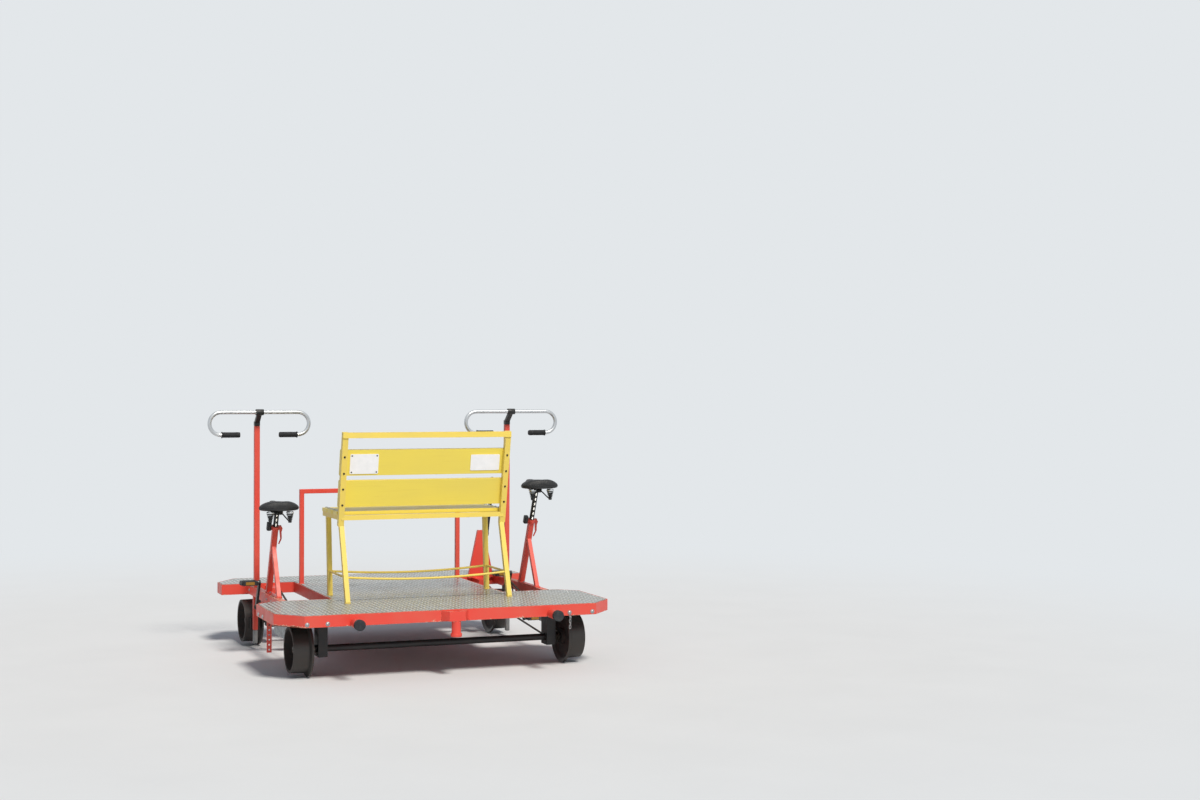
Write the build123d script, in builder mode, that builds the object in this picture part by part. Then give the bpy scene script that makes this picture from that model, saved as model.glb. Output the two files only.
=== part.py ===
"""Pedal-driven rail trolley for four, standing on its wheel flanges on a flat floor.

Millimetres. +Z up, +Y the way it drives, X across. The origin is on the floor, under the
middle of the deck. The flanges touch the floor, and the rail head that the trolley runs
on is RAIL_TOP above it.
"""
import os
from math import acos, atan2, cos, degrees, hypot, pi, radians, sin

from build123d import *

os.makedirs("parts", exist_ok=True)

# Track and wheels
GAUGE = 1435.0
RAIL_TOP = 20.0                  # flange depth
TREAD_R = 121.0
FLANGE_R = TREAD_R + RAIL_TOP
FLANGE_T = 22.0
FLANGE_X = GAUGE / 2 - 5         # rail side of the flange
TREAD_W = 80.0
AXLE_R = 17.5
AXLE_Y = 610.0                   # the rear axle is at -AXLE_Y
AXLE_Z = FLANGE_R
BOX_X = 625.0                    # axle boxes
RUNNING_FIT = 0.05               # radial, shaft in bore

# Deck
DECK_TOP = RAIL_TOP + 330.0
RIM_H = 60.0
RIM_T = 6.0
BOARD_T = 15.0
HALF_W = 905.0
REAR_Y = -910.0
FRONT_Y = 910.0
REAR_INNER_Y = -255.0            # front edge of the rear platform
FRONT_INNER_Y = 612.0            # rear edge of the front platform
CENTRE_HALF_W = 488.0
TUBE = 40.0
RAIL_H = 50.0
RAIL_X = 745.0                   # outer rails, masts and cranks

# Drive
CRANK_Y = 170.0
CRANK_Z = RAIL_TOP + 250.0
CRANK_LEN = 165.0
# Outer arms, from straight ahead towards up
ARM_ANGLE = {"left": 120.0, "right": 300.0}
SPINDLE_R = 12.0
INNER_ARM_X = 648.0
OUTER_ARM_X = 792.0
ARM_T = 12.0
PEDAL_W = 92.0
PEDAL_PIN_R = 6.0
CHAIN_X = 672.0
CHAIN_PITCH = 12.7
RING_TEETH = 46
COG_TEETH = 18

# Riders' stations: points are (y, z)
STAND_X = 737.0                  # saddle stands and saddles
STAND_FOOT = (134.0, DECK_TOP + 3.0)
STAND_TOP = (-26.0, RAIL_TOP + 691.0)
STRUT_FOOT = (-126.0, DECK_TOP + 3.0)
STRUT_TOP = (15.0, RAIL_TOP + 599.0)
STAND_TUBE = 30.0
STRUT_TUBE = 23.0
POST_R = 13.6
POST_SHOWN = {"left": 100.0, "right": 203.0}
MAST_Y = 420.0
MAST_TUBE = 30.0
MAST_FOOT_X = 752.0
MAST_FOOT_TUBE = 25.0
MAST_FOOT_Z = RAIL_TOP + 90.0
RAIL_GUARD_W = 23.0
MAST_TOP = RAIL_TOP + 1240.0
BAR_Y = 345.0
BAR_Z = RAIL_TOP + 1318.0
BAR_DROP = 126.0
BAR_R = 11.0
BAR_HALF = 290.0

# Bench: points are (y, z)
BENCH_HALF_W = 468.0
BENCH_TUBE = 30.0
LEG_TUBE = 25.0
LEG_X = 449.0
BACK_FOOT = (-330.0, RAIL_TOP + 725.0)
BACK_TOP = (-430.0, RAIL_TOP + 1225.0)
REAR_LEG_FOOT_Y = -470.0
FRONT_LEG_TOP = (-50.0, RAIL_TOP + 756.0)
FRONT_LEG_FOOT_Y = -90.0
SEAT_Z = RAIL_TOP + 781.0        # top of the seat frame
SEAT_FRONT_Y = 30.0
SLAT_HALF_W = BENCH_HALF_W
SLAT_T = 20.0
STRETCHER_Z = RAIL_TOP + 460.0
STRETCHER_R = 6.0
STRETCHER_SAG = 20.0             # the cross rods are trodden down in the middle

SIDES = (("left", -1), ("right", 1))


def save(part, name):
    """Label a finished piece and write its STEP file."""
    part.label = name
    export_step(part, f"parts/{name}.step")


def square_tube(a, b, width, depth=None, across=(1, 0, 0)):
    """Add a square bar from a to b; width runs along the direction across."""
    a, b = Vector(*a), Vector(*b)
    with BuildSketch(Plane(origin=a, x_dir=across, z_dir=b - a)) as profile:
        Rectangle(width, depth or width)
    extrude(profile.sketch, amount=(b - a).length)


def round_bar(a, b, radius, across=(1, 0, 0), mode=Mode.ADD):
    """Add a round bar from a to b; across is any direction square to it."""
    a, b = Vector(*a), Vector(*b)
    with BuildSketch(Plane(origin=a, x_dir=across, z_dir=b - a)) as profile:
        Circle(radius)
    extrude(profile.sketch, amount=(b - a).length, mode=mode)


def disc(x0, x1, y, z, radius, mode=Mode.ADD):
    """Add a disc on an axis along X, between two x positions."""
    lo, hi = min(x0, x1), max(x0, x1)
    with BuildSketch(Plane.YZ.offset(lo)) as profile:
        with Locations((y, z)):
            Circle(radius)
    extrude(profile.sketch, amount=hi - lo, mode=mode)


def block(x0, x1, y0, y1, z0, z1, mode=Mode.ADD):
    """Add a box between two corners."""
    with Locations(((x0 + x1) / 2, (y0 + y1) / 2, (z0 + z1) / 2)):
        Box(abs(x1 - x0), abs(y1 - y0), abs(z1 - z0), mode=mode)


# Platform outlines: the right half's corners, (x, y)
REAR_OUTLINE = ((780, REAR_Y), (HALF_W, -768), (HALF_W, -345), (800, REAR_INNER_Y))
FRONT_OUTLINE = ((HALF_W, FRONT_INNER_Y), (HALF_W, 742), (782, FRONT_Y))


def platform_face(points, inset):
    """A platform's outline as a sketch, moved inwards by inset."""
    mirrored = [(-x, y) for x, y in reversed(points)]
    with BuildSketch() as whole:
        with BuildLine():
            Polyline(*points, *mirrored, close=True)
        make_face()
        if inset:
            offset(amount=-inset, kind=Kind.INTERSECTION, mode=Mode.REPLACE)
    return whole.sketch


# Frame weldment
tube_top = DECK_TOP - BOARD_T
tube_z = tube_top - TUBE / 2
with BuildPart() as frame:
    for points in (REAR_OUTLINE, FRONT_OUTLINE):
        with BuildSketch(Plane.XY.offset(DECK_TOP - RIM_H)):
            add(platform_face(points, 0))
        extrude(amount=RIM_H)
        with BuildSketch(Plane.XY.offset(DECK_TOP - RIM_H)):
            add(platform_face(points, RIM_T))
        extrude(amount=RIM_H, mode=Mode.SUBTRACT)
    for edge_y in (REAR_INNER_Y, FRONT_INNER_Y):
        half = CENTRE_HALF_W - RIM_T
        block(-half, half, edge_y - 10, edge_y + 10, tube_top, DECK_TOP, Mode.SUBTRACT)
    for side in (-1, 1):
        inner_x = side * (CENTRE_HALF_W - RIM_T - TUBE / 2)
        square_tube((inner_x, REAR_Y + 3, tube_z), (inner_x, FRONT_Y - 3, tube_z), TUBE)
        block(side * (CENTRE_HALF_W - RIM_T), side * CENTRE_HALF_W,
              REAR_INNER_Y - 3, FRONT_INNER_Y + 3, DECK_TOP - RIM_H, DECK_TOP)
        block(side * (RAIL_X - TUBE / 2), side * (RAIL_X + TUBE / 2),
              REAR_INNER_Y - 3, FRONT_INNER_Y + 3, DECK_TOP - RAIL_H, DECK_TOP)
        for axle_y, half_l in ((-AXLE_Y, 220), (AXLE_Y, 130)):
            block(side * (BOX_X - 30), side * (BOX_X + 30),
                  axle_y - half_l, axle_y + half_l, DECK_TOP - RIM_H, tube_top)
    # Cross members: y, half length
    for y, half_l in ((REAR_Y + 60, 780), (REAR_INNER_Y - 60, 800), (180, CENTRE_HALF_W - 8),
                      (FRONT_INNER_Y + 80, 800), (FRONT_Y - 60, 780)):
        square_tube((-half_l, y, tube_z), (half_l, y, tube_z), TUBE, across=(0, 1, 0))
save(frame.part, "frame")

# Deck boards
with BuildPart() as rear_board:
    with BuildSketch(Plane.XY.offset(tube_top)):
        add(platform_face(REAR_OUTLINE, RIM_T + 1))
    extrude(amount=BOARD_T)
save(rear_board.part, "rear_deck_board")

with BuildPart() as front_board:
    with BuildSketch(Plane.XY.offset(tube_top)):
        add(platform_face(FRONT_OUTLINE, RIM_T + 1))
    extrude(amount=BOARD_T)
save(front_board.part, "front_deck_board")

with BuildPart() as centre_board:
    half = CENTRE_HALF_W - RIM_T - 1
    block(-half, half, REAR_INNER_Y - RIM_T + 1, FRONT_INNER_Y + RIM_T - 1, tube_top, DECK_TOP)
save(centre_board.part, "centre_deck_board")

# Buffers and tow-pin sockets, the same at both ends: y grows outwards with the sign end
BUFFER_X = 527.0
BUFFER_Z = RAIL_TOP + 286.0
BUFFER_FACE_Y = FRONT_Y + 115
BUFFER_R = 24.0
CAP_R = 28.0
CAP_L = 25.0
CAP_FACE_T = 8.0
ENDS = (-1, 1)
with BuildPart() as buffer_tubes:
    for end in ENDS:
        for x in (-BUFFER_X, BUFFER_X):
            root, tip = [(x, end * y, BUFFER_Z) for y in (FRONT_Y, BUFFER_FACE_Y - CAP_FACE_T)]
            round_bar(root, tip, BUFFER_R)
save(buffer_tubes.part, "buffer_tubes")

with BuildPart() as buffer_caps:
    for end in ENDS:
        for x in (-BUFFER_X, BUFFER_X):
            base, seat, face = [(x, end * (BUFFER_FACE_Y - back), BUFFER_Z) for back in (CAP_L, CAP_FACE_T, 0)]
            round_bar(base, face, CAP_R)
            round_bar(base, seat, BUFFER_R, mode=Mode.SUBTRACT)
save(buffer_caps.part, "buffer_caps")

TOW_Y = FRONT_Y + 24
TOW_PIN_R = 16.0
with BuildPart() as tow_sockets:
    for end in ENDS:
        root_y, tip_y = end * FRONT_Y, end * (FRONT_Y + 48)
        with BuildSketch(Plane.XY.offset(DECK_TOP - 55)):
            with BuildLine():
                Polyline((-73, root_y), (-42, tip_y), (42, tip_y), (73, root_y), close=True)
            make_face()
        extrude(amount=50)
        round_bar((0, end * TOW_Y, 226), (0, end * TOW_Y, DECK_TOP - 50), 24)
        round_bar((0, end * TOW_Y, 214), (0, end * TOW_Y, 230), 29)
        block(-40, 40, root_y, root_y - end * 10, 200, DECK_TOP, Mode.SUBTRACT)
        round_bar((0, end * TOW_Y, 200), (0, end * TOW_Y, DECK_TOP), TOW_PIN_R, mode=Mode.SUBTRACT)
save(tow_sockets.part, "tow_sockets")

# Bench
with BuildPart() as bench_frame:
    back_y, back_z = BACK_FOOT
    inner = BENCH_HALF_W - BENCH_TUBE / 2
    rod_ys = (REAR_LEG_FOOT_Y + 46, FRONT_LEG_FOOT_Y + 12)
    for side in (-1, 1):
        x = side * inner
        leg_x = side * LEG_X
        square_tube((x, *BACK_FOOT), (x, *BACK_TOP), BENCH_TUBE)
        square_tube((leg_x, REAR_LEG_FOOT_Y, DECK_TOP), (leg_x, back_y, back_z + 5), LEG_TUBE)
        square_tube((leg_x, FRONT_LEG_FOOT_Y, DECK_TOP), (leg_x, *FRONT_LEG_TOP), LEG_TUBE)
        square_tube((leg_x, back_y - 20, SEAT_Z - LEG_TUBE / 2),
                    (leg_x, SEAT_FRONT_Y, SEAT_Z - LEG_TUBE / 2), LEG_TUBE)
        round_bar((leg_x, rod_ys[0], STRETCHER_Z), (leg_x, rod_ys[1], STRETCHER_Z), STRETCHER_R)
    square_tube((-inner - BENCH_TUBE / 2, BACK_TOP[0], BACK_TOP[1] - BENCH_TUBE / 2),
                (inner + BENCH_TUBE / 2, BACK_TOP[0], BACK_TOP[1] - BENCH_TUBE / 2),
                BENCH_TUBE, across=(0, 1, 0))
    for y in (back_y - 12, SEAT_FRONT_Y - LEG_TUBE / 2):
        square_tube((-inner, y, SEAT_Z - LEG_TUBE / 2), (inner, y, SEAT_Z - LEG_TUBE / 2),
                    LEG_TUBE, across=(0, 1, 0))
    for y in rod_ys:
        with BuildLine() as bow:
            ThreePointArc((-LEG_X, y, STRETCHER_Z), (0, y, STRETCHER_Z - STRETCHER_SAG),
                          (LEG_X, y, STRETCHER_Z))
        with BuildSketch(Plane(bow.line @ 0, x_dir=(0, 1, 0), z_dir=bow.line % 0)):
            Circle(STRETCHER_R)
        sweep(path=bow.line)
    block(-BENCH_HALF_W, BENCH_HALF_W, REAR_LEG_FOOT_Y - 30, FRONT_LEG_FOOT_Y + 30,
          DECK_TOP - 20, DECK_TOP, Mode.SUBTRACT)
save(bench_frame.part, "bench_frame")

lean = atan2(BACK_FOOT[0] - BACK_TOP[0], BACK_TOP[1] - BACK_FOOT[1])


def back_plane(x, height, forward):
    """Plane parallel to the bench back, a distance in front of the uprights' middle."""
    t = (height - BACK_FOOT[1]) / (BACK_TOP[1] - BACK_FOOT[1])
    y = BACK_FOOT[0] + t * (BACK_TOP[0] - BACK_FOOT[0])
    origin = (x, y + forward * cos(lean), height + forward * sin(lean))
    return Plane(origin, x_dir=(-1, 0, 0), z_dir=(0, cos(lean), sin(lean)))


with BuildPart() as back_slats:
    # Middle height and width of each slat
    for height, width in ((RAIL_TOP + 1059, 140), (RAIL_TOP + 893, 145)):
        with BuildSketch(back_plane(0, height, BENCH_TUBE / 2)):
            Rectangle(2 * SLAT_HALF_W, width)
        extrude(amount=SLAT_T)
save(back_slats.part, "back_slats")

with BuildPart() as seat_slats:
    for y in (-262, -148, -34):
        block(-SLAT_HALF_W, SLAT_HALF_W, y - 52, y + 52, SEAT_Z, SEAT_Z + SLAT_T)
save(seat_slats.part, "seat_slats")

with BuildPart() as bench_plates:
    # Middle, width and height of each blank plate
    for x, width, height in ((-338, 155, 108), (338, 165, 88)):
        with BuildSketch(back_plane(x, RAIL_TOP + 1053, BENCH_TUBE / 2 - 3)):
            RectangleRounded(width, height, 6)
        extrude(amount=3)
save(bench_plates.part, "bench_plates")

# Grab hoop in front of the passengers
HOOP_X = 467.5
HOOP_Y = 510.0
HOOP_TOP = RAIL_TOP + 860.0
with BuildPart() as grab_hoop:
    for side in (-1, 1):
        square_tube((side * HOOP_X, HOOP_Y, DECK_TOP), (side * HOOP_X, HOOP_Y, HOOP_TOP), LEG_TUBE)
    square_tube((-HOOP_X - LEG_TUBE / 2, HOOP_Y, HOOP_TOP), (HOOP_X + LEG_TUBE / 2, HOOP_Y, HOOP_TOP),
                LEG_TUBE, across=(0, 1, 0))
save(grab_hoop.part, "grab_hoop")

# Brake stand and lever, beside the right rider
BRAKE_X = 644.0
BRAKE_Y = FRONT_INNER_Y - 10
BRAKE_Z = RAIL_TOP + 580.0
BRAKE_PIN_R = 5.0
with BuildPart() as brake_stand:
    with BuildSketch(Plane((BRAKE_X, FRONT_INNER_Y, 0), x_dir=(1, 0, 0), z_dir=(0, -1, 0))):
        with BuildLine():
            Polyline((-80, tube_top), (80, tube_top), (20, BRAKE_Z + 20), (-20, BRAKE_Z + 20), close=True)
        make_face()
    extrude(amount=20)
    disc(BRAKE_X + 10, BRAKE_X + 52, BRAKE_Y, BRAKE_Z, BRAKE_PIN_R)
save(brake_stand.part, "brake_stand")

with BuildPart() as brake_lever:
    lever_x = BRAKE_X + 40
    square_tube((lever_x, BRAKE_Y, BRAKE_Z), (lever_x, BRAKE_Y - 110, BRAKE_Z + 340), 12, 28)
    disc(lever_x - 6, lever_x + 6, BRAKE_Y, BRAKE_Z, 18)
    disc(lever_x - 7, lever_x + 7, BRAKE_Y, BRAKE_Z, BRAKE_PIN_R + RUNNING_FIT, Mode.SUBTRACT)
save(brake_lever.part, "brake_lever")

# Brake shoes behind the front wheels, on hangers from the outer rails
SHOE_GAP = 7.0
SHOE_X = 745.0
with BuildPart() as brake_shoes:
    for x in (-SHOE_X, SHOE_X):
        block(x - 26, x + 26, AXLE_Y - 152, AXLE_Y - 90, AXLE_Z - 34, AXLE_Z + 34)
        disc(x - 30, x + 30, AXLE_Y, AXLE_Z, TREAD_R + SHOE_GAP, Mode.SUBTRACT)
        block(x - 8, x + 8, AXLE_Y - 152, AXLE_Y - 138, AXLE_Z + 20, DECK_TOP - RAIL_H)
save(brake_shoes.part, "brake_shoes")

# Perforated guard bar under the left rear
with BuildPart() as guard_bar:
    bar_x = -HALF_W + RIM_T
    block(bar_x, bar_x + 25, -583, -577, RAIL_TOP + 109, tube_top - 5)
    with Locations(Plane((bar_x + 12.5, -577, RAIL_TOP + 199), x_dir=(1, 0, 0), z_dir=(0, 1, 0))):
        with GridLocations(1, 25, 1, 7):
            Hole(radius=5, depth=6)
save(guard_bar.part, "guard_bar")


# Saddle stands
stand_slope = atan2(STAND_FOOT[0] - STAND_TOP[0], STAND_TOP[1] - STAND_FOOT[1])


def saddle_anchor(name):
    """Top of a seat post: y, z."""
    shown = POST_SHOWN[name]
    return (STAND_TOP[0] - shown * sin(stand_slope), STAND_TOP[1] + shown * cos(stand_slope))


def stand_plane(x, above):
    """Plane square to the seat tube at x, a distance above its top end."""
    along = (0, -sin(stand_slope), cos(stand_slope))
    origin = (x, STAND_TOP[0] + above * along[1], STAND_TOP[1] + above * along[2])
    return Plane(origin, x_dir=(1, 0, 0), z_dir=along)


with BuildPart() as saddle_stands:
    for x in (-STAND_X, STAND_X):
        square_tube((x, *STAND_FOOT), (x, *STAND_TOP), STAND_TUBE)
        square_tube((x, *STRUT_FOOT), (x, *STRUT_TOP), STRUT_TUBE)
        block(x - STAND_TUBE / 2, x + STAND_TUBE / 2, STRUT_FOOT[0] - 20, STAND_FOOT[0] + 20,
              DECK_TOP, DECK_TOP + 6)
        block(x - 25, x + 25, STRUT_FOOT[0] - 40, STAND_FOOT[0] + 40, DECK_TOP - 30, DECK_TOP, Mode.SUBTRACT)
save(saddle_stands.part, "saddle_stands")

with BuildPart() as seat_posts:
    for name, side in SIDES:
        x = side * STAND_X
        round_bar((x, *STAND_TOP), (x, *saddle_anchor(name)), POST_R)
save(seat_posts.part, "seat_posts")

# Post clamps: a split collar on the tube's end, a knob on its left and a hooked lever on its right
CLAMP_H = 22.0
with BuildPart() as seat_clamps:
    for x in (-STAND_X, STAND_X):
        with BuildSketch(stand_plane(x, 0)):
            Circle(21)
            with Locations((24, 0), (-15, 0)):
                Rectangle(16, 14)
            Circle(POST_R, mode=Mode.SUBTRACT)
        extrude(amount=CLAMP_H)
        with BuildSketch(stand_plane(x, CLAMP_H / 2).rotated((90, 0, 0))):
            with BuildLine():
                Polyline((32, 6), (39, -2), (35, -24), (40, -62), (33, -66), (25, -22), (26, 6), close=True)
            make_face()
        extrude(amount=8, both=True)
save(seat_clamps.part, "seat_clamps")

with BuildPart() as clamp_knobs:
    for x in (-STAND_X, STAND_X):
        with BuildSketch(stand_plane(x, 0)):
            with Locations((-35, 0)):
                RectangleRounded(24, 30, 8)
        extrude(amount=40)
save(clamp_knobs.part, "clamp_knobs")

# Saddle clamps, rails from the springs through the clamp to the nose, and springs wider at the top
SADDLE_LIFT = 13.0               # underside of the saddle above the top of its post
SPRING_X = 49.0
SPRING_BACK = 80.0
SPRING_L = 58.0
with BuildPart() as saddle_frames:
    for name, side in SIDES:
        x = side * STAND_X
        y, z = saddle_anchor(name)
        underside = z + SADDLE_LIFT
        block(x - 24, x + 24, y - 20, y + 26, z - 14, underside)
        block(x - 22, x + 22, y + 105, y + 119, underside - 12, underside)
        for s in (-1, 1):
            round_bar((x + s * 18, y - 10, z - 2), (x + s * 18, y + 112, z + 6), 4)
            round_bar((x + s * SPRING_X, y - SPRING_BACK, underside - SPRING_L + 8),
                      (x + s * 18, y - 8, z - 2), 4)
            with Locations((x + s * SPRING_X, y - SPRING_BACK, underside - SPRING_L / 2)):
                Cone(8, 17, SPRING_L)
        round_bar((x, *STAND_TOP), (x, y, z), POST_R, mode=Mode.SUBTRACT)
save(saddle_frames.part, "saddle_frames")

SADDLE_H = 52.0
# Right half of a saddle's outline from tail to nose: x, y
SADDLE_OUTLINE = ((70, -112), (110, -82), (110, -42), (34, 38), (20, 145))
for name, side in SIDES:
    y, z = saddle_anchor(name)
    with BuildPart() as saddle:
        with BuildSketch(Plane((side * STAND_X, y, z + SADDLE_LIFT))) as outline:
            with BuildLine():
                Polyline(*SADDLE_OUTLINE, *[(-px, py) for px, py in reversed(SADDLE_OUTLINE)], close=True)
            make_face()
            fillet(outline.vertices(), 16)
        extrude(amount=SADDLE_H)
        chamfer(saddle.faces().sort_by(Axis.Z)[-1].edges(), 14)
    save(saddle.part, f"{name}_saddle")

# Masts, rail guards and handlebars
with BuildPart() as masts:
    for x in (-RAIL_X, RAIL_X):
        square_tube((x, MAST_Y, DECK_TOP), (x, MAST_Y, MAST_TOP), MAST_TUBE)
    for x in (-MAST_FOOT_X, MAST_FOOT_X):
        square_tube((x, MAST_Y, MAST_FOOT_Z), (x, MAST_Y, DECK_TOP - RAIL_H), MAST_FOOT_TUBE)
save(masts.part, "masts")

with BuildPart() as rail_guards:
    for x in (-MAST_FOOT_X, MAST_FOOT_X):
        square_tube((x, MAST_Y, RAIL_TOP + 13), (x, MAST_Y, MAST_FOOT_Z), RAIL_GUARD_W)
save(rail_guards.part, "rail_guards")

BAR_BEND = BAR_DROP / 2
BAR_REACH = BAR_HALF - BAR_R - BAR_BEND
GRIP_L = 105.0
with BuildPart() as handlebars:
    for x in (-RAIL_X, RAIL_X):
        for s in (-1, 1):
            with BuildLine() as path:
                Line((x, BAR_Y, BAR_Z), (x + s * BAR_REACH, BAR_Y, BAR_Z))
                ThreePointArc((x + s * BAR_REACH, BAR_Y, BAR_Z),
                              (x + s * (BAR_REACH + BAR_BEND), BAR_Y, BAR_Z - BAR_BEND),
                              (x + s * BAR_REACH, BAR_Y, BAR_Z - BAR_DROP))
                Line((x + s * BAR_REACH, BAR_Y, BAR_Z - BAR_DROP),
                     (x + s * (BAR_REACH - GRIP_L), BAR_Y, BAR_Z - BAR_DROP))
            with BuildSketch(Plane(path.line @ 0, x_dir=(0, 1, 0), z_dir=path.line % 0)):
                Circle(BAR_R)
            sweep(path=path.line)
save(handlebars.part, "handlebars")

# Stems: a cap on the mast, an arm to the bar and a clamp round it
with BuildPart() as stems:
    for x in (-RAIL_X, RAIL_X):
        square_tube((x, MAST_Y, MAST_TOP), (x, MAST_Y, MAST_TOP + 24), MAST_TUBE)
        square_tube((x, MAST_Y, MAST_TOP + 16), (x, BAR_Y, BAR_Z), 26, 20)
        round_bar((x - 22, BAR_Y, BAR_Z), (x + 22, BAR_Y, BAR_Z), 17, (0, 1, 0))
        round_bar((x - 30, BAR_Y, BAR_Z), (x + 30, BAR_Y, BAR_Z), BAR_R, (0, 1, 0), Mode.SUBTRACT)
save(stems.part, "stems")

with BuildPart() as grips:
    for x in (-RAIL_X, RAIL_X):
        for s in (-1, 1):
            ends = (x + s * (BAR_REACH - GRIP_L), x + s * (BAR_REACH - 5))
            disc(*ends, BAR_Y, BAR_Z - BAR_DROP, 16)
            disc(*ends, BAR_Y, BAR_Z - BAR_DROP, BAR_R, Mode.SUBTRACT)
save(grips.part, "grips")

# Bottom brackets under the outer rails
with BuildPart() as bottom_brackets:
    for side in (-1, 1):
        x = side * RAIL_X
        disc(x - 40, x + 40, CRANK_Y, CRANK_Z, 22)
        block(x - TUBE / 2, x + TUBE / 2, CRANK_Y - 35, CRANK_Y + 35, CRANK_Z + 12, DECK_TOP - RAIL_H)
        disc(x - 41, x + 41, CRANK_Y, CRANK_Z, SPINDLE_R + RUNNING_FIT, Mode.SUBTRACT)
save(bottom_brackets.part, "bottom_brackets")

with BuildPart() as chain_guards:
    for side in (-1, 1):
        x = side * 757
        block(x - 2, x + 2, -440, -110, RAIL_TOP + 140, DECK_TOP - RIM_H)
        block(x - 2, x + 2, -220, -130, DECK_TOP - RIM_H - 5, DECK_TOP - RAIL_H)
save(chain_guards.part, "chain_guards")

# Cranks, chainrings and pedals
RING_R = CHAIN_PITCH / (2 * sin(pi / RING_TEETH))
COG_R = CHAIN_PITCH / (2 * sin(pi / COG_TEETH))
COG_Y = -AXLE_Y


def toothed_disc(x, y, z, pitch_r, teeth):
    """Add a sprocket plate 2.4 thick, its middle at x, with plain pointed teeth."""
    with BuildSketch(Plane.YZ.offset(x - 1.2)) as profile:
        with Locations((y, z)):
            Circle(pitch_r - 3.5)
            with PolarLocations(pitch_r - 3.7, teeth):
                Trapezoid(7.6, 6.0, 62, rotation=-90, align=(Align.CENTER, Align.MIN))
    extrude(profile.sketch, amount=2.4)


def pedal_centre(name, sign):
    """Pedal pin of one side's outer (1) or inner (-1) arm: y, z."""
    angle = radians(ARM_ANGLE[name])
    return (CRANK_Y + sign * CRANK_LEN * cos(angle), CRANK_Z + sign * CRANK_LEN * sin(angle))


# Arms: name, sign along the crank, first x, direction in which the pedal lies
ARMS = (("outer", 1, OUTER_ARM_X, 1), ("inner", -1, INNER_ARM_X, -1))
WINDOWS = 5                      # between the arms of each chainring's spider
for name, side in SIDES:
    with BuildPart() as crankset:
        disc(side * INNER_ARM_X, side * (OUTER_ARM_X + ARM_T), CRANK_Y, CRANK_Z, SPINDLE_R)
        for arm, sign, arm_x, away in ARMS:
            pin_y, pin_z = pedal_centre(name, sign)
            lo = min(side * arm_x, side * (arm_x + ARM_T))
            with BuildSketch(Plane.YZ.offset(lo)):
                with Locations(((CRANK_Y + pin_y) / 2, (CRANK_Z + pin_z) / 2)):
                    SlotCenterToCenter(CRANK_LEN, 28, rotation=ARM_ANGLE[name])
            extrude(amount=ARM_T)
            face_x = arm_x + ARM_T if away > 0 else arm_x
            disc(side * face_x, side * (face_x + away * (PEDAL_W + 7)), pin_y, pin_z, PEDAL_PIN_R)
    save(crankset.part, f"{name}_crankset")

    with BuildPart() as chainring:
        toothed_disc(side * CHAIN_X, CRANK_Y, CRANK_Z, RING_R, RING_TEETH)
        disc(side * (INNER_ARM_X + ARM_T), side * CHAIN_X, CRANK_Y, CRANK_Z, 26)
        disc(side * (INNER_ARM_X - 5), side * (CHAIN_X + 5), CRANK_Y, CRANK_Z, SPINDLE_R, Mode.SUBTRACT)
        with BuildSketch(Plane.YZ.offset(side * CHAIN_X)):
            with Locations((CRANK_Y, CRANK_Z)):
                with PolarLocations(74, WINDOWS):
                    Trapezoid(62, 40, 63, rotation=90, align=(Align.CENTER, Align.MIN))
        extrude(amount=10, both=True, mode=Mode.SUBTRACT)
    save(chainring.part, f"{name}_chainring")

    for arm, sign, arm_x, away in ARMS:
        pin_y, pin_z = pedal_centre(name, sign)
        face_x = arm_x + ARM_T if away > 0 else arm_x
        near, far = side * (face_x + away * 5), side * (face_x + away * (5 + PEDAL_W))
        with BuildPart() as pedal:
            block(near, far, pin_y - 11, pin_y + 11, pin_z - 11, pin_z + 11)
            for row in (-1, 1):
                block(near, far, pin_y + row * 20, pin_y + row * 36, pin_z - 13, pin_z + 13)
            for edge, inward in ((near, side * away), (far, -side * away)):
                block(edge, edge + inward * 9, pin_y - 28, pin_y + 28, pin_z - 8, pin_z + 8)
            disc(near, far, pin_y, pin_z, PEDAL_PIN_R + RUNNING_FIT, Mode.SUBTRACT)
        save(pedal.part, f"{name}_{arm}_pedal")

# Chains: a fixed loop of two rows of side plates, straight from tooth to tooth, and pins between
centre_dist = hypot(CRANK_Y - COG_Y, CRANK_Z - AXLE_Z)
chain_slope = atan2(CRANK_Z - AXLE_Z, CRANK_Y - COG_Y)
run_angle = acos((RING_R - COG_R) / centre_dist)
PIN_PITCH = 4 * CHAIN_PITCH
with BuildPart() as chains:
    for x in (-CHAIN_X, CHAIN_X):
        for grow, mode in ((4.5, Mode.ADD), (-4.5, Mode.SUBTRACT)):
            with BuildSketch(Plane.YZ.offset(x - 4.3)):
                with Locations((CRANK_Y, CRANK_Z)):
                    RegularPolygon(RING_R + grow, RING_TEETH)
                with Locations((COG_Y, AXLE_Z)):
                    RegularPolygon(COG_R + grow, COG_TEETH)
                make_hull()
            extrude(amount=8.6, mode=mode)
        block(x - 3, x + 3, COG_Y - 90, CRANK_Y + 140, AXLE_Z - 80, CRANK_Z + 140, Mode.SUBTRACT)
        for s in (-1, 1):
            normal = chain_slope + s * (pi - run_angle)
            near = (COG_Y - COG_R * cos(normal), AXLE_Z - COG_R * sin(normal))
            far = (CRANK_Y - RING_R * cos(normal), CRANK_Z - RING_R * sin(normal))
            length = hypot(far[0] - near[0], far[1] - near[1])
            for k in range(int((length - 100) // PIN_PITCH) + 1):
                t = (45 + k * PIN_PITCH) / length
                pin_y, pin_z = near[0] + t * (far[0] - near[0]), near[1] + t * (far[1] - near[1])
                block(x - 3, x + 3, pin_y - 3, pin_y + 3, pin_z - 2, pin_z + 2)
save(chains.part, "chains")

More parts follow.
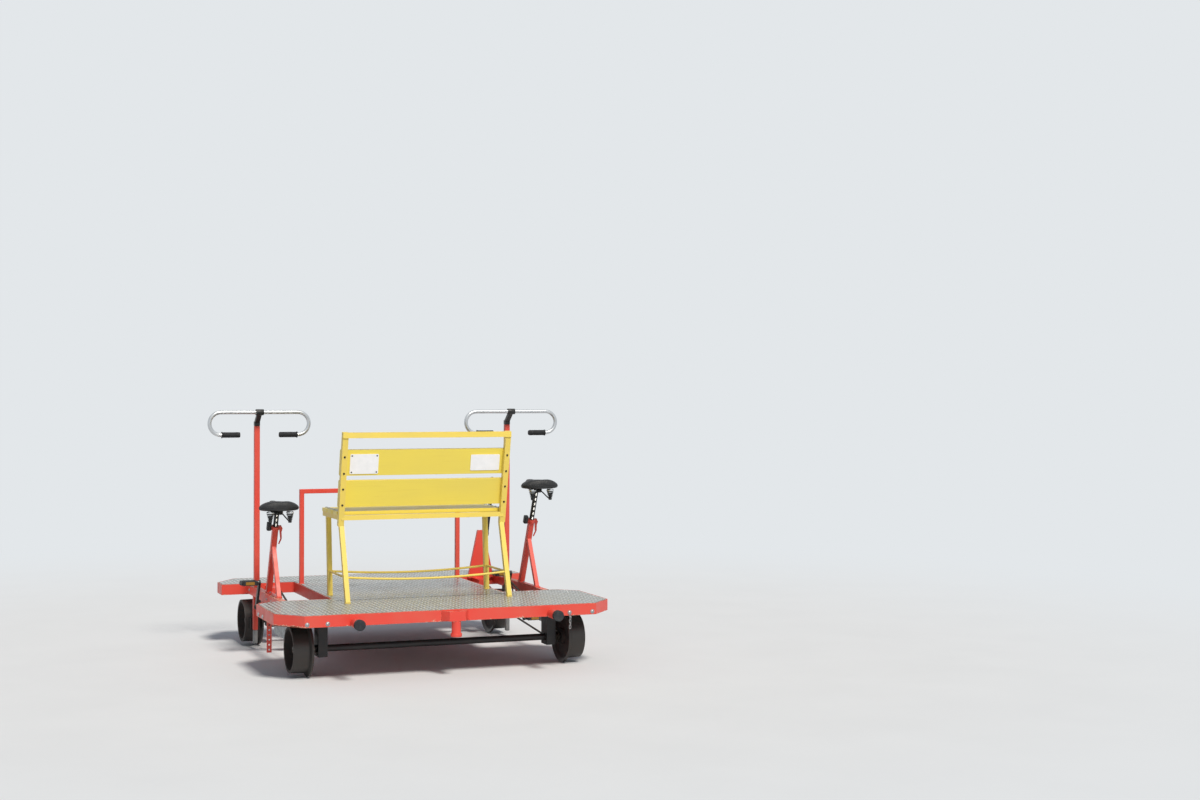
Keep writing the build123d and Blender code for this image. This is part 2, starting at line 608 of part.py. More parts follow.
# Wheelsets: profile points are (distance from the flange's inner face, radius)
WHEEL_PROFILE = ((0, AXLE_R), (0, 44), (18, 44), (18, 104), (1, FLANGE_R - 3), (12, FLANGE_R),
                 (FLANGE_T, TREAD_R), (FLANGE_T + TREAD_W, TREAD_R - 2), (FLANGE_T + TREAD_W, 104),
                 (34, 98), (34, 42), (70, 42), (70, AXLE_R))
for end, axle_y in (("rear", -AXLE_Y), ("front", AXLE_Y)):
    with BuildPart() as axle:
        half_l = FLANGE_X + 56
        disc(-half_l, half_l, axle_y, AXLE_Z, AXLE_R)
    save(axle.part, f"{end}_axle")
    with BuildPart() as wheels:
        for side in (-1, 1):
            start = side * (FLANGE_X - FLANGE_T)
            with BuildSketch(Plane((start, axle_y, AXLE_Z), x_dir=(side, 0, 0), z_dir=(0, -side, 0))):
                with BuildLine():
                    Polyline(*WHEEL_PROFILE, close=True)
                make_face()
            revolve(axis=Axis((0, axle_y, AXLE_Z), (1, 0, 0)))
    save(wheels.part, f"{end}_wheels")

with BuildPart() as cogs:
    for side in (-1, 1):
        toothed_disc(side * CHAIN_X, COG_Y, AXLE_Z, COG_R, COG_TEETH)
        disc(side * (CHAIN_X - 10), side * (CHAIN_X + 10), COG_Y, AXLE_Z, 26)
        disc(side * (CHAIN_X - 12), side * (CHAIN_X + 12), COG_Y, AXLE_Z, AXLE_R, Mode.SUBTRACT)
save(cogs.part, "rear_cogs")

with BuildPart() as axle_boxes:
    for axle_y in (-AXLE_Y, AXLE_Y):
        for side in (-1, 1):
            x = side * BOX_X
            block(x - 25, x + 25, axle_y - 45, axle_y + 45, AXLE_Z - 40, DECK_TOP - RIM_H)
            disc(x - 30, x + 30, axle_y, AXLE_Z, AXLE_R + RUNNING_FIT, Mode.SUBTRACT)
save(axle_boxes.part, "axle_boxes")
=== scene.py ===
"""Looks of the pedal-driven rail trolley: finishes for its solids, and its soft and small pieces.

Metres, in the frame of the solids: +Z up, +Y the way it drives, X across, origin on the floor
under the middle of the deck.
"""
from math import cos, pi, radians, sin

import bmesh
import bpy
import numpy as np
from mathutils import Matrix


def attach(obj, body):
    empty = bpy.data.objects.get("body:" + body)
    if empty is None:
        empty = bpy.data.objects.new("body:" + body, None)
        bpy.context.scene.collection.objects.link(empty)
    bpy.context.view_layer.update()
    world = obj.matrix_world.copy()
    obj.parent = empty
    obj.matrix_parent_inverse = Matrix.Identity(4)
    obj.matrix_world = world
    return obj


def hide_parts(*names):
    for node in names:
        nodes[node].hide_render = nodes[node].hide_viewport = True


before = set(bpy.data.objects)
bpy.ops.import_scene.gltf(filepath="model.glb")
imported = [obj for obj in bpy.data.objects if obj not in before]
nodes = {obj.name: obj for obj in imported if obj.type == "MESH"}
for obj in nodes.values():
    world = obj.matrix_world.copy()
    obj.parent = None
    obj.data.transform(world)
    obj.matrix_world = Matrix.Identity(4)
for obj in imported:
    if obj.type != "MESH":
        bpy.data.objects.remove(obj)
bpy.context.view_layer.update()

# Places that the solids have too
SIDES = (("left", -1), ("right", 1))
DECK_TOP = 0.35
RIM_BOTTOM = 0.29
HALF_W = 0.905
CENTRE_HALF_W = 0.481
END_Y = 0.91
RAIL_X = 0.745
AXLE_Y = 0.61
AXLE_Z = 0.141
TREAD_R = 0.121
CRANK = np.array((0.17, 0.27))
CRANK_LEN = 0.165
ARM_ANGLE = {"left": radians(120), "right": radians(300)}
CHAIN_X = 0.672
CHAIN_PITCH = 0.0127
RING_TEETH, COG_TEETH = 46, 18
STAND_X = 0.737
FOOT_BAR_TOP = DECK_TOP + 0.006
STAND_FOOT = np.array((0.134, 0.353))
STAND_TOP = np.array((-0.026, 0.711))
STRUT_FOOT = np.array((-0.126, 0.353))
STRUT_TOP = np.array((0.015, 0.619))
POST_SHOWN = {"left": 0.1, "right": 0.203}
POST_R = 0.0136
MAST_Y = 0.42
BAR_Y, BAR_Z, BAR_DROP, BAR_REACH = 0.345, 1.338, 0.126, 0.216
BACK_FOOT = np.array((-0.33, 0.745))
BACK_TOP = np.array((-0.43, 1.245))
REAR_LEG_FOOT_Y = -0.47
FRONT_LEG_TOP = np.array((-0.05, 0.776))
FRONT_LEG_FOOT_Y = -0.09
UPRIGHT_X = 0.453
LEG_X = 0.449
SEAT_TOP = 0.821
TOP_RAIL_Y, TOP_RAIL_LOW = -0.424, 1.2146
HOOP_X, HOOP_Y = 0.4675, 0.51

X_AXIS, Y_AXIS, Z_AXIS = np.eye(3)


# Surfaces
def unit(v):
    """The same directions with length 1."""
    v = np.asarray(v, float)
    return v / np.linalg.norm(v, axis=-1, keepdims=True)


def around_circle(count):
    """Equal steps of angle round a full turn."""
    return np.linspace(0, 2 * pi, count, endpoint=False)


def skin(loops, ring=False):
    """Faces over rows of closed loops. A ring joins its last row to its first; otherwise both ends
    are closed."""
    rows, around = loops.shape[:2]
    here = np.arange(rows * around).reshape(rows, around)
    beside = np.roll(here, -1, axis=1)
    above, above_beside = np.roll(here, -1, axis=0), np.roll(beside, -1, axis=0)
    quads = np.stack((here, beside, above_beside, above), axis=-1)
    quads = (quads if ring else quads[:-1]).reshape(-1, 4).tolist()
    if not ring:
        quads += [here[0][::-1].tolist(), here[-1].tolist()]
    return loops.reshape(-1, 3), quads


def swept(path, side, radius, around=10, ring=False):
    """A round bar along a path: at each point a circle in the plane of side and of tangent times side."""
    path = np.asarray(path, float)
    if ring:
        tangent = unit(np.roll(path, -1, axis=0) - np.roll(path, 1, axis=0))
    else:
        tangent = unit(np.gradient(path, axis=0))
    side = np.broadcast_to(np.asarray(side, float), path.shape)
    side = unit(side - (side * tangent).sum(axis=1, keepdims=True) * tangent)
    other = np.cross(tangent, side)
    turn = around_circle(around)[None, :, None]
    radius = np.broadcast_to(radius, len(path))[:, None, None]
    circle = np.cos(turn) * side[:, None] + np.sin(turn) * other[:, None]
    return skin(path[:, None] + radius * circle, ring)


def turned(profile, centre=(0, 0, 0), axis=Z_AXIS, around=24):
    """A lathe shape: each profile point (distance along the axis, radius) becomes a circle."""
    profile, axis = np.asarray(profile, float), unit(axis)
    side = unit(np.cross(axis, Z_AXIS if abs(axis[2]) < 0.9 else X_AXIS))
    other = np.cross(axis, side)
    turn = around_circle(around)[None, :, None]
    radius = np.maximum(profile[:, 1], 0.0002)[:, None, None]
    middle = np.asarray(centre, float) + profile[:, :1] * axis
    return skin(middle[:, None] + radius * (np.cos(turn) * side + np.sin(turn) * other))


def prism(outline, depth):
    """An outline of points pushed along the vector depth."""
    outline = np.asarray(outline, float)
    return skin(np.stack((outline, outline + np.asarray(depth, float))))


def block(low, high):
    """A box between two corners."""
    low, high = np.asarray(low, float), np.asarray(high, float)
    corners = np.array(((0, 0, 0), (1, 0, 0), (1, 1, 0), (0, 1, 0)))
    return prism(low + corners * (high - low), (0, 0, high[2] - low[2]))


def joined(*parts):
    """Several shapes as one."""
    points, faces, start = [], [], 0
    for verts, polygons in parts:
        points.append(verts)
        faces += [[corner + start for corner in face] for face in polygons]
        start += len(verts)
    return np.concatenate(points), faces


def repeated(part, origins, axes):
    """Copies of a shape: local x, y and z of each copy lie along the rows of its axes."""
    verts, polygons = part
    origins, axes = np.asarray(origins, float), np.asarray(axes, float)
    axes = np.broadcast_to(axes, (len(origins), 3, 3))
    points = np.einsum("nk,mkj->mnj", verts, axes) + origins[:, None]
    faces = [[corner + copy * len(verts) for corner in face]
             for copy in range(len(origins)) for face in polygons]
    return points.reshape(-1, 3), faces


def facing(out):
    """Axes for repeated(): local z along out, local x level."""
    out = unit(out)
    level = unit(np.cross(Z_AXIS if abs(out[2]) < 0.9 else Y_AXIS, out))
    return np.stack((level, np.cross(out, level), out))


def stepped(points, count):
    """Count points in equal steps along the straight runs between a few."""
    run = np.concatenate(((0,), np.cumsum(np.linalg.norm(np.diff(points, axis=0), axis=1))))
    at = np.linspace(0, run[-1], count)
    return np.stack([np.interp(at, run, column) for column in np.transpose(points)], axis=1)


def eased(points, count, passes):
    """A path through a few points: equal steps, then each point moved to the mean of its neighbours a
    few times, which rounds the corners."""
    path = stepped(points, count)
    for _ in range(passes):
        path[1:-1] = (path[:-2] + path[2:]) / 2
    return path


def round_edges(thing, width, angle):
    """Round the edges of an object where its faces meet at more than angle, in degrees."""
    rounding = thing.modifiers.new("Rounded edges", "BEVEL")
    rounding.width, rounding.segments = width, 2
    rounding.limit_method, rounding.angle_limit = "ANGLE", radians(angle)
    return rounding


def linked(name, data):
    """A new object in the scene."""
    thing = bpy.data.objects.new(name, data)
    bpy.context.scene.collection.objects.link(thing)
    return thing


def make_piece(name, shape, material, body="trolley", replaces=(), bevel=0.0, crease=38, levels=0):
    """Put a shape into the scene as a mesh object with its place in its points, riding on a body."""
    mesh = bpy.data.meshes.new(name)
    mesh.from_pydata(shape[0].tolist(), [], shape[1])
    work = bmesh.new()
    work.from_mesh(mesh)
    bmesh.ops.recalc_face_normals(work, faces=work.faces)
    work.to_mesh(mesh)
    work.free()
    mesh.shade_smooth()
    mesh.set_sharp_from_angle(angle=radians(crease))
    mesh.materials.append(material)
    piece = linked(name, mesh)
    if bevel:
        round_edges(piece, bevel, crease)
    if levels:
        finer = piece.modifiers.new("Smooth", "SUBSURF")
        finer.levels = finer.render_levels = levels
    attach(piece, body)
    if replaces:
        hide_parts(*replaces)
    return piece


# Finishes
def linear(code):
    """An sRGB hex colour as linear RGBA."""
    value = np.array([int(code[k:k + 2], 16) for k in (1, 3, 5)]) / 255
    value = np.where(value <= 0.04045, value / 12.92, ((value + 0.055) / 1.055) ** 2.4)
    return (*value, 1.0)


def add_node(tree, kind, inputs=None, **settings):
    """Add a node with its settings. Each input is either another node's socket, or a value."""
    node = tree.nodes.new(kind)
    for name, value in settings.items():
        setattr(node, name, value)
    for name, source in (inputs or {}).items():
        if isinstance(source, bpy.types.NodeSocket):
            tree.links.new(source, node.inputs[name])
        else:
            node.inputs[name].default_value = source
    return node


def socket_name(key):
    """The shader's own name of a socket: Base Color for base_color."""
    return key.replace("_", " ").title().replace("Ior", "IOR")


def new_finish(name, **sockets):
    """A material with one shader. Returns it, its tree, its shader and the object coordinates."""
    material = bpy.data.materials.new(name)
    material.use_nodes = True
    tree = material.node_tree
    tree.nodes.clear()
    values = {socket_name(key): value for key, value in sockets.items()}
    shader = add_node(tree, "ShaderNodeBsdfPrincipled", values)
    add_node(tree, "ShaderNodeOutputMaterial", {"Surface": shader.outputs[0]})
    where = add_node(tree, "ShaderNodeTexCoord").outputs["Object"]
    return material, tree, shader, where


def speckle(tree, where, size, detail=3.0, roughness=0.55, stretch=(1, 1, 1)):
    """Noise whose features are about size metres, longer along an axis where stretch is below 1."""
    laid = add_node(tree, "ShaderNodeMapping", {"Scale": stretch, "Vector": where}).outputs[0]
    inputs = {"Vector": laid, "Scale": 1 / size, "Detail": detail, "Roughness": roughness}
    return add_node(tree, "ShaderNodeTexNoise", inputs).outputs["Fac"]


def ramp(tree, value, start, end, low=0.0, high=1.0):
    """Value carried from start..end to low..high, held outside it."""
    return add_node(tree, "ShaderNodeMapRange", {0: value, 1: start, 2: end, 3: low, 4: high}).outputs[0]


def combine(tree, a, b, operation="MULTIPLY"):
    """Two values put together, multiplied unless told otherwise; either may be a plain number."""
    return add_node(tree, "ShaderNodeMath", {0: a, 1: b}, operation=operation).outputs[0]


def blended(tree, share, a, b):
    """Colour a turning to colour b by share; each is a hex code or a socket."""
    a, b = [linear(colour) if isinstance(colour, str) else colour for colour in (a, b)]
    return add_node(tree, "ShaderNodeMix", {0: share, 6: a, 7: b}, data_type="RGBA").outputs[2]


def raised(tree, shader, height, depth):
    """Relief on the shader: height 0..1 stands depth metres."""
    bump = add_node(tree, "ShaderNodeBump", {"Strength": 1.0, "Distance": depth, "Height": height})
    tree.links.new(bump.outputs[0], shader.inputs["Normal"])


def near_edges(tree, width):
    """0 on open faces and 1 at edges: how far the normal, rounded over width, turns from the true one."""
    rounded = add_node(tree, "ShaderNodeBevel", {"Radius": width}, samples=6)
    true = add_node(tree, "ShaderNodeNewGeometry")
    agree = add_node(tree, "ShaderNodeVectorMath", {0: rounded.outputs[0], 1: true.outputs["Normal"]},
                     operation="DOT_PRODUCT")
    return ramp(tree, agree.outputs["Value"], 0.995, 0.8)


def feed(tree, shader, **sources):
    """Link sources to the shader's sockets."""
    for name, source in sources.items():
        tree.links.new(source, shader.inputs[socket_name(name)])


def paint_loss(tree, where, edge_width, edge_share, grit_size, patch_size):
    """How worn paint is: most along edges, and elsewhere in grit that is denser in patches."""
    edges = combine(tree, near_edges(tree, edge_width), edge_share)
    grit = combine(tree, speckle(tree, where, grit_size, 4, 0.6), 0.55)
    patch = combine(tree, speckle(tree, where, patch_size, 2), 0.45)
    return combine(tree, edges, combine(tree, grit, patch, "ADD"), "ADD")


def rim_chips_and_highlight(tree, where, most):
    """Wear and painted highlight of the deck rim: stone chips along its lower edge, most at the rear left
    corner, and a painted highlight along its top edge at deck height, a pale line drawn as worn paint."""
    x, y, z = add_node(tree, "ShaderNodeSeparateXYZ", {0: where}).outputs
    chips = combine(tree, ramp(tree, z, RIM_BOTTOM + 0.019, RIM_BOTTOM + 0.0005, 0.0, most),
                    ramp(tree, z, RIM_BOTTOM - 0.004, RIM_BOTTOM - 0.001))
    corner = combine(tree, ramp(tree, x, -0.74, -0.8, 1.0, 1.9), ramp(tree, y, -0.7, -0.78, 0.6, 1.0))
    # Painted highlight: a pale line of worn paint along the top edge at deck height, where the light
    # catches it
    rubbing_and_highlight = combine(tree, ramp(tree, z, DECK_TOP - 0.0035, DECK_TOP - 0.0005, 0.0, 0.22),
                     ramp(tree, z, DECK_TOP + 0.003, DECK_TOP + 0.0015))
    return combine(tree, combine(tree, chips, corner), rubbing_and_highlight, "ADD")


def enamel(name, fresh, faded, under, bare, wear, rim_wear_and_highlight=0.0):
    """Brushed gloss enamel on steel: it fades in patches, chips along edges to its undercoat, and
    the chips' middles rust. The last argument adds the deck rim's own chips, and a painted highlight
    along the top edge at deck height."""
    material, tree, shader, where = new_finish(name, ior=1.5)
    tone = ramp(tree, speckle(tree, where, 0.22, 3), 0.35, 0.68)
    loss = paint_loss(tree, where, 0.0035, 0.22, 0.011, 0.09)
    if rim_wear_and_highlight:
        loss = combine(tree, loss, rim_chips_and_highlight(tree, where, rim_wear_and_highlight), "ADD")
    level = 0.8 - 0.14 * wear
    chipped = ramp(tree, loss, level, level + 0.012)
    rusted = ramp(tree, loss, level + 0.035, level + 0.06)
    colour = blended(tree, tone, fresh, faded)
    colour = blended(tree, chipped, colour, under)
    colour = blended(tree, rusted, colour, bare)
    haze = ramp(tree, speckle(tree, where, 0.05, 4), 0.3, 0.7, 0.34, 0.5)
    rough = combine(tree, haze, combine(tree, chipped, 0.72), "MAXIMUM")
    feed(tree, shader, base_color=colour, roughness=rough)
    brush_marks = combine(tree, speckle(tree, where, 0.004, 2), 0.12)
    height = combine(tree, brush_marks, combine(tree, chipped, 0.6), "SUBTRACT")
    raised(tree, shader, height, 0.0005)
    return material


def painted_board(name):
    """Yellow gloss on planed softwood: the grain runs along X and telegraphs through as fine ridges;
    along the edges the paint chips to a pinkish white undercoat."""
    material, tree, shader, where = new_finish(name, ior=1.5)
    tone = ramp(tree, speckle(tree, where, 0.3, 3, stretch=(0.4, 1, 1)), 0.35, 0.7)
    grain = speckle(tree, where, 0.006, 5, 0.6, (0.03, 1, 1))
    loss = paint_loss(tree, where, 0.004, 0.24, 0.01, 0.07)
    chipped = ramp(tree, loss, 0.735, 0.745)
    worn_through = ramp(tree, loss, 0.8, 0.82)
    colour = blended(tree, tone, "#F3DE56", "#EAD55E")
    dark_grain = combine(tree, ramp(tree, grain, 0.55, 0.75), 0.25)
    colour = blended(tree, dark_grain, colour, "#D8BC48")
    colour = blended(tree, chipped, colour, "#EBC9B4")
    colour = blended(tree, worn_through, colour, "#8C6E52")
    haze = ramp(tree, speckle(tree, where, 0.04, 4), 0.3, 0.7, 0.3, 0.46)
    rough = combine(tree, haze, combine(tree, chipped, 0.75), "MAXIMUM")
    feed(tree, shader, base_color=colour, roughness=rough)
    height = combine(tree, combine(tree, grain, 0.5), combine(tree, chipped, 0.7), "SUBTRACT")
    raised(tree, shader, height, 0.0006)
    return material


def chequer_sheet(name):
    """Aluminium chequer plate between its bars: the mill finish has gone grey, boots scuff and scratch
    it, and dry dust lies in patches that dull it."""
    material, tree, shader, where = new_finish(name)
    tone = ramp(tree, speckle(tree, where, 0.28, 4), 0.3, 0.7)
    cloud = speckle(tree, where, 0.05, 5, 0.65)
    dust = combine(tree, ramp(tree, speckle(tree, where, 0.16, 6, 0.65), 0.42, 0.7),
                   ramp(tree, cloud, 0.38, 0.62, 0.55, 1.0))
    scuff = ramp(tree, speckle(tree, where, 0.03, 5, 0.7, (0.5, 1.2, 1)), 0.54, 0.66)
    scratch = ramp(tree, speckle(tree, where, 0.005, 3, 0.5, (1.0, 0.06, 1)), 0.66, 0.71)
    colour = blended(tree, tone, "#8D8F8D", "#9B9C98")
    colour = blended(tree, combine(tree, scuff, 0.45), colour, "#6E6F6C")
    colour = blended(tree, combine(tree, dust, 0.55), colour, "#9A9284")
    colour = blended(tree, combine(tree, scratch, 0.5), colour, "#C4C4C0")
    gloss = ramp(tree, cloud, 0.35, 0.65, 0.24, 0.34)
    rough = combine(tree, gloss, combine(tree, dust, 0.2), "ADD")
    feed(tree, shader, base_color=colour, roughness=rough, metallic=ramp(tree, dust, 0.0, 1.0, 0.9, 0.45))
    raised(tree, shader, speckle(tree, where, 0.01, 4), 0.0003)
    return material


def rubber(name, code, dusty, rough=0.72):
    """Moulded rubber: matt, greyed by dust in patches, and polished a little where it is touched."""
    material, tree, shader, where = new_finish(name, ior=1.52, specular_ior_level=0.4)
    dust = ramp(tree, speckle(tree, where, 0.03, 5, 0.65), 0.45, 0.75, 0.0, 0.55)
    feed(tree, shader, base_color=blended(tree, dust, code, dusty),
         roughness=ramp(tree, speckle(tree, where, 0.02, 4), 0.3, 0.7, rough - 0.1, rough + 0.12))
    raised(tree, shader, speckle(tree, where, 0.0016, 2), 0.0003)
    return material


def saddle_vinyl(name):
    """Black vinyl with a pressed leather grain of 2 mm cells, shinier where riders rub it."""
    material, tree, shader, where = new_finish(name, ior=1.5)
    cells = add_node(tree, "ShaderNodeTexVoronoi", {"Scale": 1 / 0.0022, "Vector": where},
                     feature="DISTANCE_TO_EDGE")
    rub = ramp(tree, speckle(tree, where, 0.08, 3), 0.35, 0.65)
    feed(tree, shader, base_color=blended(tree, rub, "#121417", "#1C1E21"),
         roughness=ramp(tree, rub, 0, 1, 0.42, 0.6))
    raised(tree, shader, ramp(tree, cells.outputs["Distance"], 0.0, 0.25), 0.00025)
    return material


def plain_metal(name, code, darker, rough, metallic=1.0, grain=0.02, marks=0.0):
    """Bare or plated metal: slightly uneven in tone and gloss, with dull brown marks where it is
    handled or weathered."""
    material, tree, shader, where = new_finish(name, metallic=metallic)
    tone = ramp(tree, speckle(tree, where, grain, 5, 0.6), 0.35, 0.7)
    blotches = ramp(tree, speckle(tree, where, grain * 2.5, 4, 0.65), 0.55, 0.7)
    stain = combine(tree, blotches, marks)
    colour = blended(tree, tone, code, darker)
    if marks:
        colour = blended(tree, stain, colour, "#5A4030")
    gloss = ramp(tree, tone, 0, 1, rough - 0.06, rough + 0.1)
    feed(tree, shader, base_color=colour, roughness=combine(tree, gloss, combine(tree, stain, 0.35), "ADD"))
    raised(tree, shader, speckle(tree, where, grain / 6, 3), 0.00015)
    return material


def black_paint(name):
    """Satin black paint on steel, rubbed to bare grey metal along the edges."""
    material, tree, shader, where = new_finish(name, ior=1.5)
    grit = speckle(tree, where, 0.008, 4, 0.6)
    edges = combine(tree, near_edges(tree, 0.002), 0.3)
    loss = combine(tree, edges, combine(tree, grit, 0.9), "ADD")
    rubbing_and_highlight = ramp(tree, loss, 0.62, 0.68)
    dust = ramp(tree, speckle(tree, where, 0.06, 4), 0.45, 0.75, 0.0, 0.5)
    colour = blended(tree, dust, "#17181A", "#33312D")
    feed(tree, shader, base_color=blended(tree, rubbing_and_highlight, colour, "#6E6B66"),
         metallic=combine(tree, rubbing_and_highlight, 0.8), roughness=ramp(tree, grit, 0.3, 0.7, 0.36, 0.52))
    return material


def rolled_wheel(name, axle_y):
    """A rolled steel railway wheel: brown-black rust film on the disc, and the tread and flange root
    rolled bright, by the distance from the axle. All its colours are darkened as painted shade from
    the deck above."""
    material, tree, shader, where = new_finish(name)
    around_axle = {"Vector": where, "Location": (0, -axle_y, -AXLE_Z), "Scale": (0, 1, 1)}
    place = add_node(tree, "ShaderNodeMapping", around_axle).outputs[0]
    reach = add_node(tree, "ShaderNodeVectorMath", {0: place}, operation="LENGTH")
    uneven = combine(tree, speckle(tree, where, 0.012, 4), 0.004)
    worn = combine(tree, reach.outputs["Value"], uneven, "ADD")
    bright = ramp(tree, worn, TREAD_R - 0.002, TREAD_R)
    rust = ramp(tree, speckle(tree, where, 0.02, 6, 0.65), 0.4, 0.68)
    # Painted shade: disc and tread colours are kept dark for the shadow of the deck over the wheels
    colour = blended(tree, rust, "#252322", "#3C2C27")
    feed(tree, shader, base_color=blended(tree, bright, colour, "#4E4B49"),
         metallic=combine(tree, bright, 0.9), roughness=ramp(tree, bright, 0, 1, 0.78, 0.48))
    raised(tree, shader, speckle(tree, where, 0.004, 5, 0.6), 0.0005)
    return material


red = enamel("Red brushed enamel", "#E1483B", "#DB5646", "#EFC6AE", "#7A3B28", 0.45, rim_wear_and_highlight=0.19)
yellow = enamel("Yellow brushed enamel", "#F1D661", "#EAD165", "#F3DDBE", "#7C5A34", 0.35)
board_paint = painted_board("Yellow gloss on softwood")
deck = chequer_sheet("Weathered chequer plate")
# The bars' near-white colour is worn metal and partly painted highlight: lighter than the sheet they are
# pressed in, so that they show as glints
tread_bar = plain_metal("Chequer bars, worn and painted with glints", "#E2E3E0", "#C3C4C0", 0.42, grain=0.012)
cap_rubber = rubber("Black buffer rubber", "#24282D", "#4A4B4A")
grip_rubber = rubber("Black grip rubber", "#1C1E21", "#33353A", 0.62)
guard_rubber = rubber("Worn guard rubber", "#85898B", "#B4B3AD", 0.6)
vinyl = saddle_vinyl("Black grained vinyl")
moulded = rubber("Black moulded nylon", "#1F2023", "#36373A", 0.5)
black = black_paint("Satin black paint")
polished = plain_metal("Satin steel tube", "#D2D4D6", "#BDC0C3", 0.34, marks=0.12)
zinc = plain_metal("Zinc-plated steel", "#B9BBBC", "#9C9EA0", 0.42, grain=0.006, marks=0.25)
galvanised = plain_metal("Galvanised sheet", "#9FA2A4", "#7F8385", 0.52, grain=0.015, marks=0.35)
chain_steel = plain_metal("Oiled chain steel", "#6A635A", "#3B352F", 0.38, grain=0.008, marks=0.5)
dark_bolt = plain_metal("Blackened bolt steel", "#4A4743", "#33302D", 0.46, grain=0.006, marks=0.4)
amber = new_finish("Amber reflector", base_color=linear("#946B1F"), roughness=0.25, ior=1.49)[0]
plate_white = plain_metal("White lacquered aluminium", "#F7F8FB", "#EFF1F4", 0.34, metallic=0.0, grain=0.03)
chrome = plain_metal("Chromed steel", "#DFE1E3", "#C9CCCE", 0.2, grain=0.006)
rear_wheel = rolled_wheel("Rolled wheel steel, rear", -AXLE_Y)
front_wheel = rolled_wheel("Rolled wheel steel, front", AXLE_Y)

DRESS = {
    red: ("frame", "buffer_tubes", "tow_sockets", "grab_hoop", "brake_stand", "guard_bar", "saddle_stands",
          "seat_clamps", "masts", "bottom_brackets"),
    yellow: ("bench_frame",),
    board_paint: ("back_slats", "seat_slats"),
    deck: ("rear_deck_board", "centre_deck_board", "front_deck_board"),
    cap_rubber: ("buffer_caps",),
    guard_rubber: ("rail_guards",),
    moulded: ("clamp_knobs",),
    black: ("brake_shoes", "stems", "seat_posts", "axle_boxes", "rear_axle", "front_axle",
            "left_crankset", "right_crankset", "brake_lever"),
    polished: ("handlebars",),
    galvanised: ("chain_guards",),
    chain_steel: ("rear_cogs", "left_chainring", "right_chainring"),
    plate_white: ("bench_plates",),
    rear_wheel: ("rear_wheels",),
    front_wheel: ("front_wheels",),
}
for finish, names in DRESS.items():
    for name in names:
        nodes[name].data.materials.clear()
        nodes[name].data.materials.append(finish)

# Folded and sawn edges are rounded a little, so that they catch the light
ROUNDED = {
    "frame": 0.0012, "bench_frame": 0.003, "back_slats": 0.003, "seat_slats": 0.003, "grab_hoop": 0.0025,
    "brake_stand": 0.002, "saddle_stands": 0.003, "masts": 0.003, "tow_sockets": 0.002,
    "bench_plates": 0.0006, "buffer_caps": 0.004, "clamp_knobs": 0.003, "seat_clamps": 0.0012,
    "axle_boxes": 0.003, "stems": 0.002, "rail_guards": 0.004, "chain_guards": 0.001,
}
for name, width in ROUNDED.items():
    nodes[name].modifiers.new("Joined corners", "WELD").merge_threshold = 0.00002
    round_edges(nodes[name], width, 40).harden_normals = True

# Saddles
stand_along = unit(STAND_TOP - STAND_FOOT)
SADDLE_TAIL, SADDLE_NOSE = -0.112, 0.145
SADDLE_LOW, SADDLE_SEAM, SADDLE_TOP = 0.013, 0.033, 0.065
# Half width along the saddle, from tail (0) to nose (1)
SADDLE_HALF = np.array((
    (0, 0.03), (0.04, 0.07), (0.1, 0.094), (0.18, 0.107), (0.27, 0.108), (0.35, 0.097),
    (0.44, 0.07), (0.53, 0.045), (0.65, 0.031), (0.82, 0.025), (0.95, 0.022), (1, 0.012)))


def post_head(name):
    """The top of a seat post: y, z."""
    return STAND_TOP + POST_SHOWN[name] * stand_along


def saddle_shape(centre_x, head):
    """Length t runs tail to nose and angle v goes round. Across, the half width w(t) is carried on a
    flattened cosine; upwards, a crown over the seam line and a shallow skirt below it. The crown
    dips in a groove along the middle, rises under the sitting bones and rounds off at both ends."""
    t = (1 - np.cos(np.linspace(0, pi, 57))) / 2
    v = around_circle(72)
    half = np.interp(t, *SADDLE_HALF.T)
    for _ in range(2):
        half[1:-1] = (half[:-2] + 2 * half[1:-1] + half[2:]) / 4
    tail_end = np.sqrt(1 - np.clip(1 - t / 0.07, 0, 1) ** 2)
    nose_end = np.sqrt(1 - 0.9 * np.clip(1 - (1 - t) / 0.08, 0, 1) ** 2)
    across = np.sign(np.cos(v)) * np.abs(np.cos(v)) ** 0.75
    up = np.where(np.sin(v) > 0, np.abs(np.sin(v)) ** 1.15, -np.abs(np.sin(v)) ** 0.45)
    x = half[:, None] * across
    y = SADDLE_TAIL + t * (SADDLE_NOSE - SADDLE_TAIL)
    level = 0.004 * np.exp(-(t / 0.16) ** 2) - 0.007 * t ** 3
    crown = (SADDLE_TOP - SADDLE_SEAM) * (0.25 + 0.75 * (tail_end * nose_end))
    rise = np.where(up > 0, crown[:, None] * up, (SADDLE_SEAM - SADDLE_LOW) * up)
    top = np.clip(up, 0, 1)
    grooved = np.clip(t / 0.08, 0, 1) * np.clip((0.8 - t) / 0.15, 0, 1)
    groove = 0.005 * np.exp(-(x / 0.01) ** 2) * grooved[:, None]
    bones = 0.004 * np.exp(-((np.abs(x) - 0.055) / 0.03) ** 2) * np.exp(-((t - 0.2) / 0.12) ** 2)[:, None]
    z = SADDLE_SEAM + level[:, None] + rise + top * (bones - groove)
    points = np.stack((centre_x + x, np.broadcast_to(head[0] + y[:, None], x.shape), head[1] + z), axis=-1)
    seam = np.stack((half, y, SADDLE_SEAM + level - 0.001), axis=1)
    seam = np.concatenate((seam, (seam * (-1, 1, 1))[::-1]))
    for _ in range(3):
        seam = (np.roll(seam, 1, axis=0) + 2 * seam + np.roll(seam, -1, axis=0)) / 4
    seam = seam + (centre_x, head[0], head[1])
    return skin(points), seam


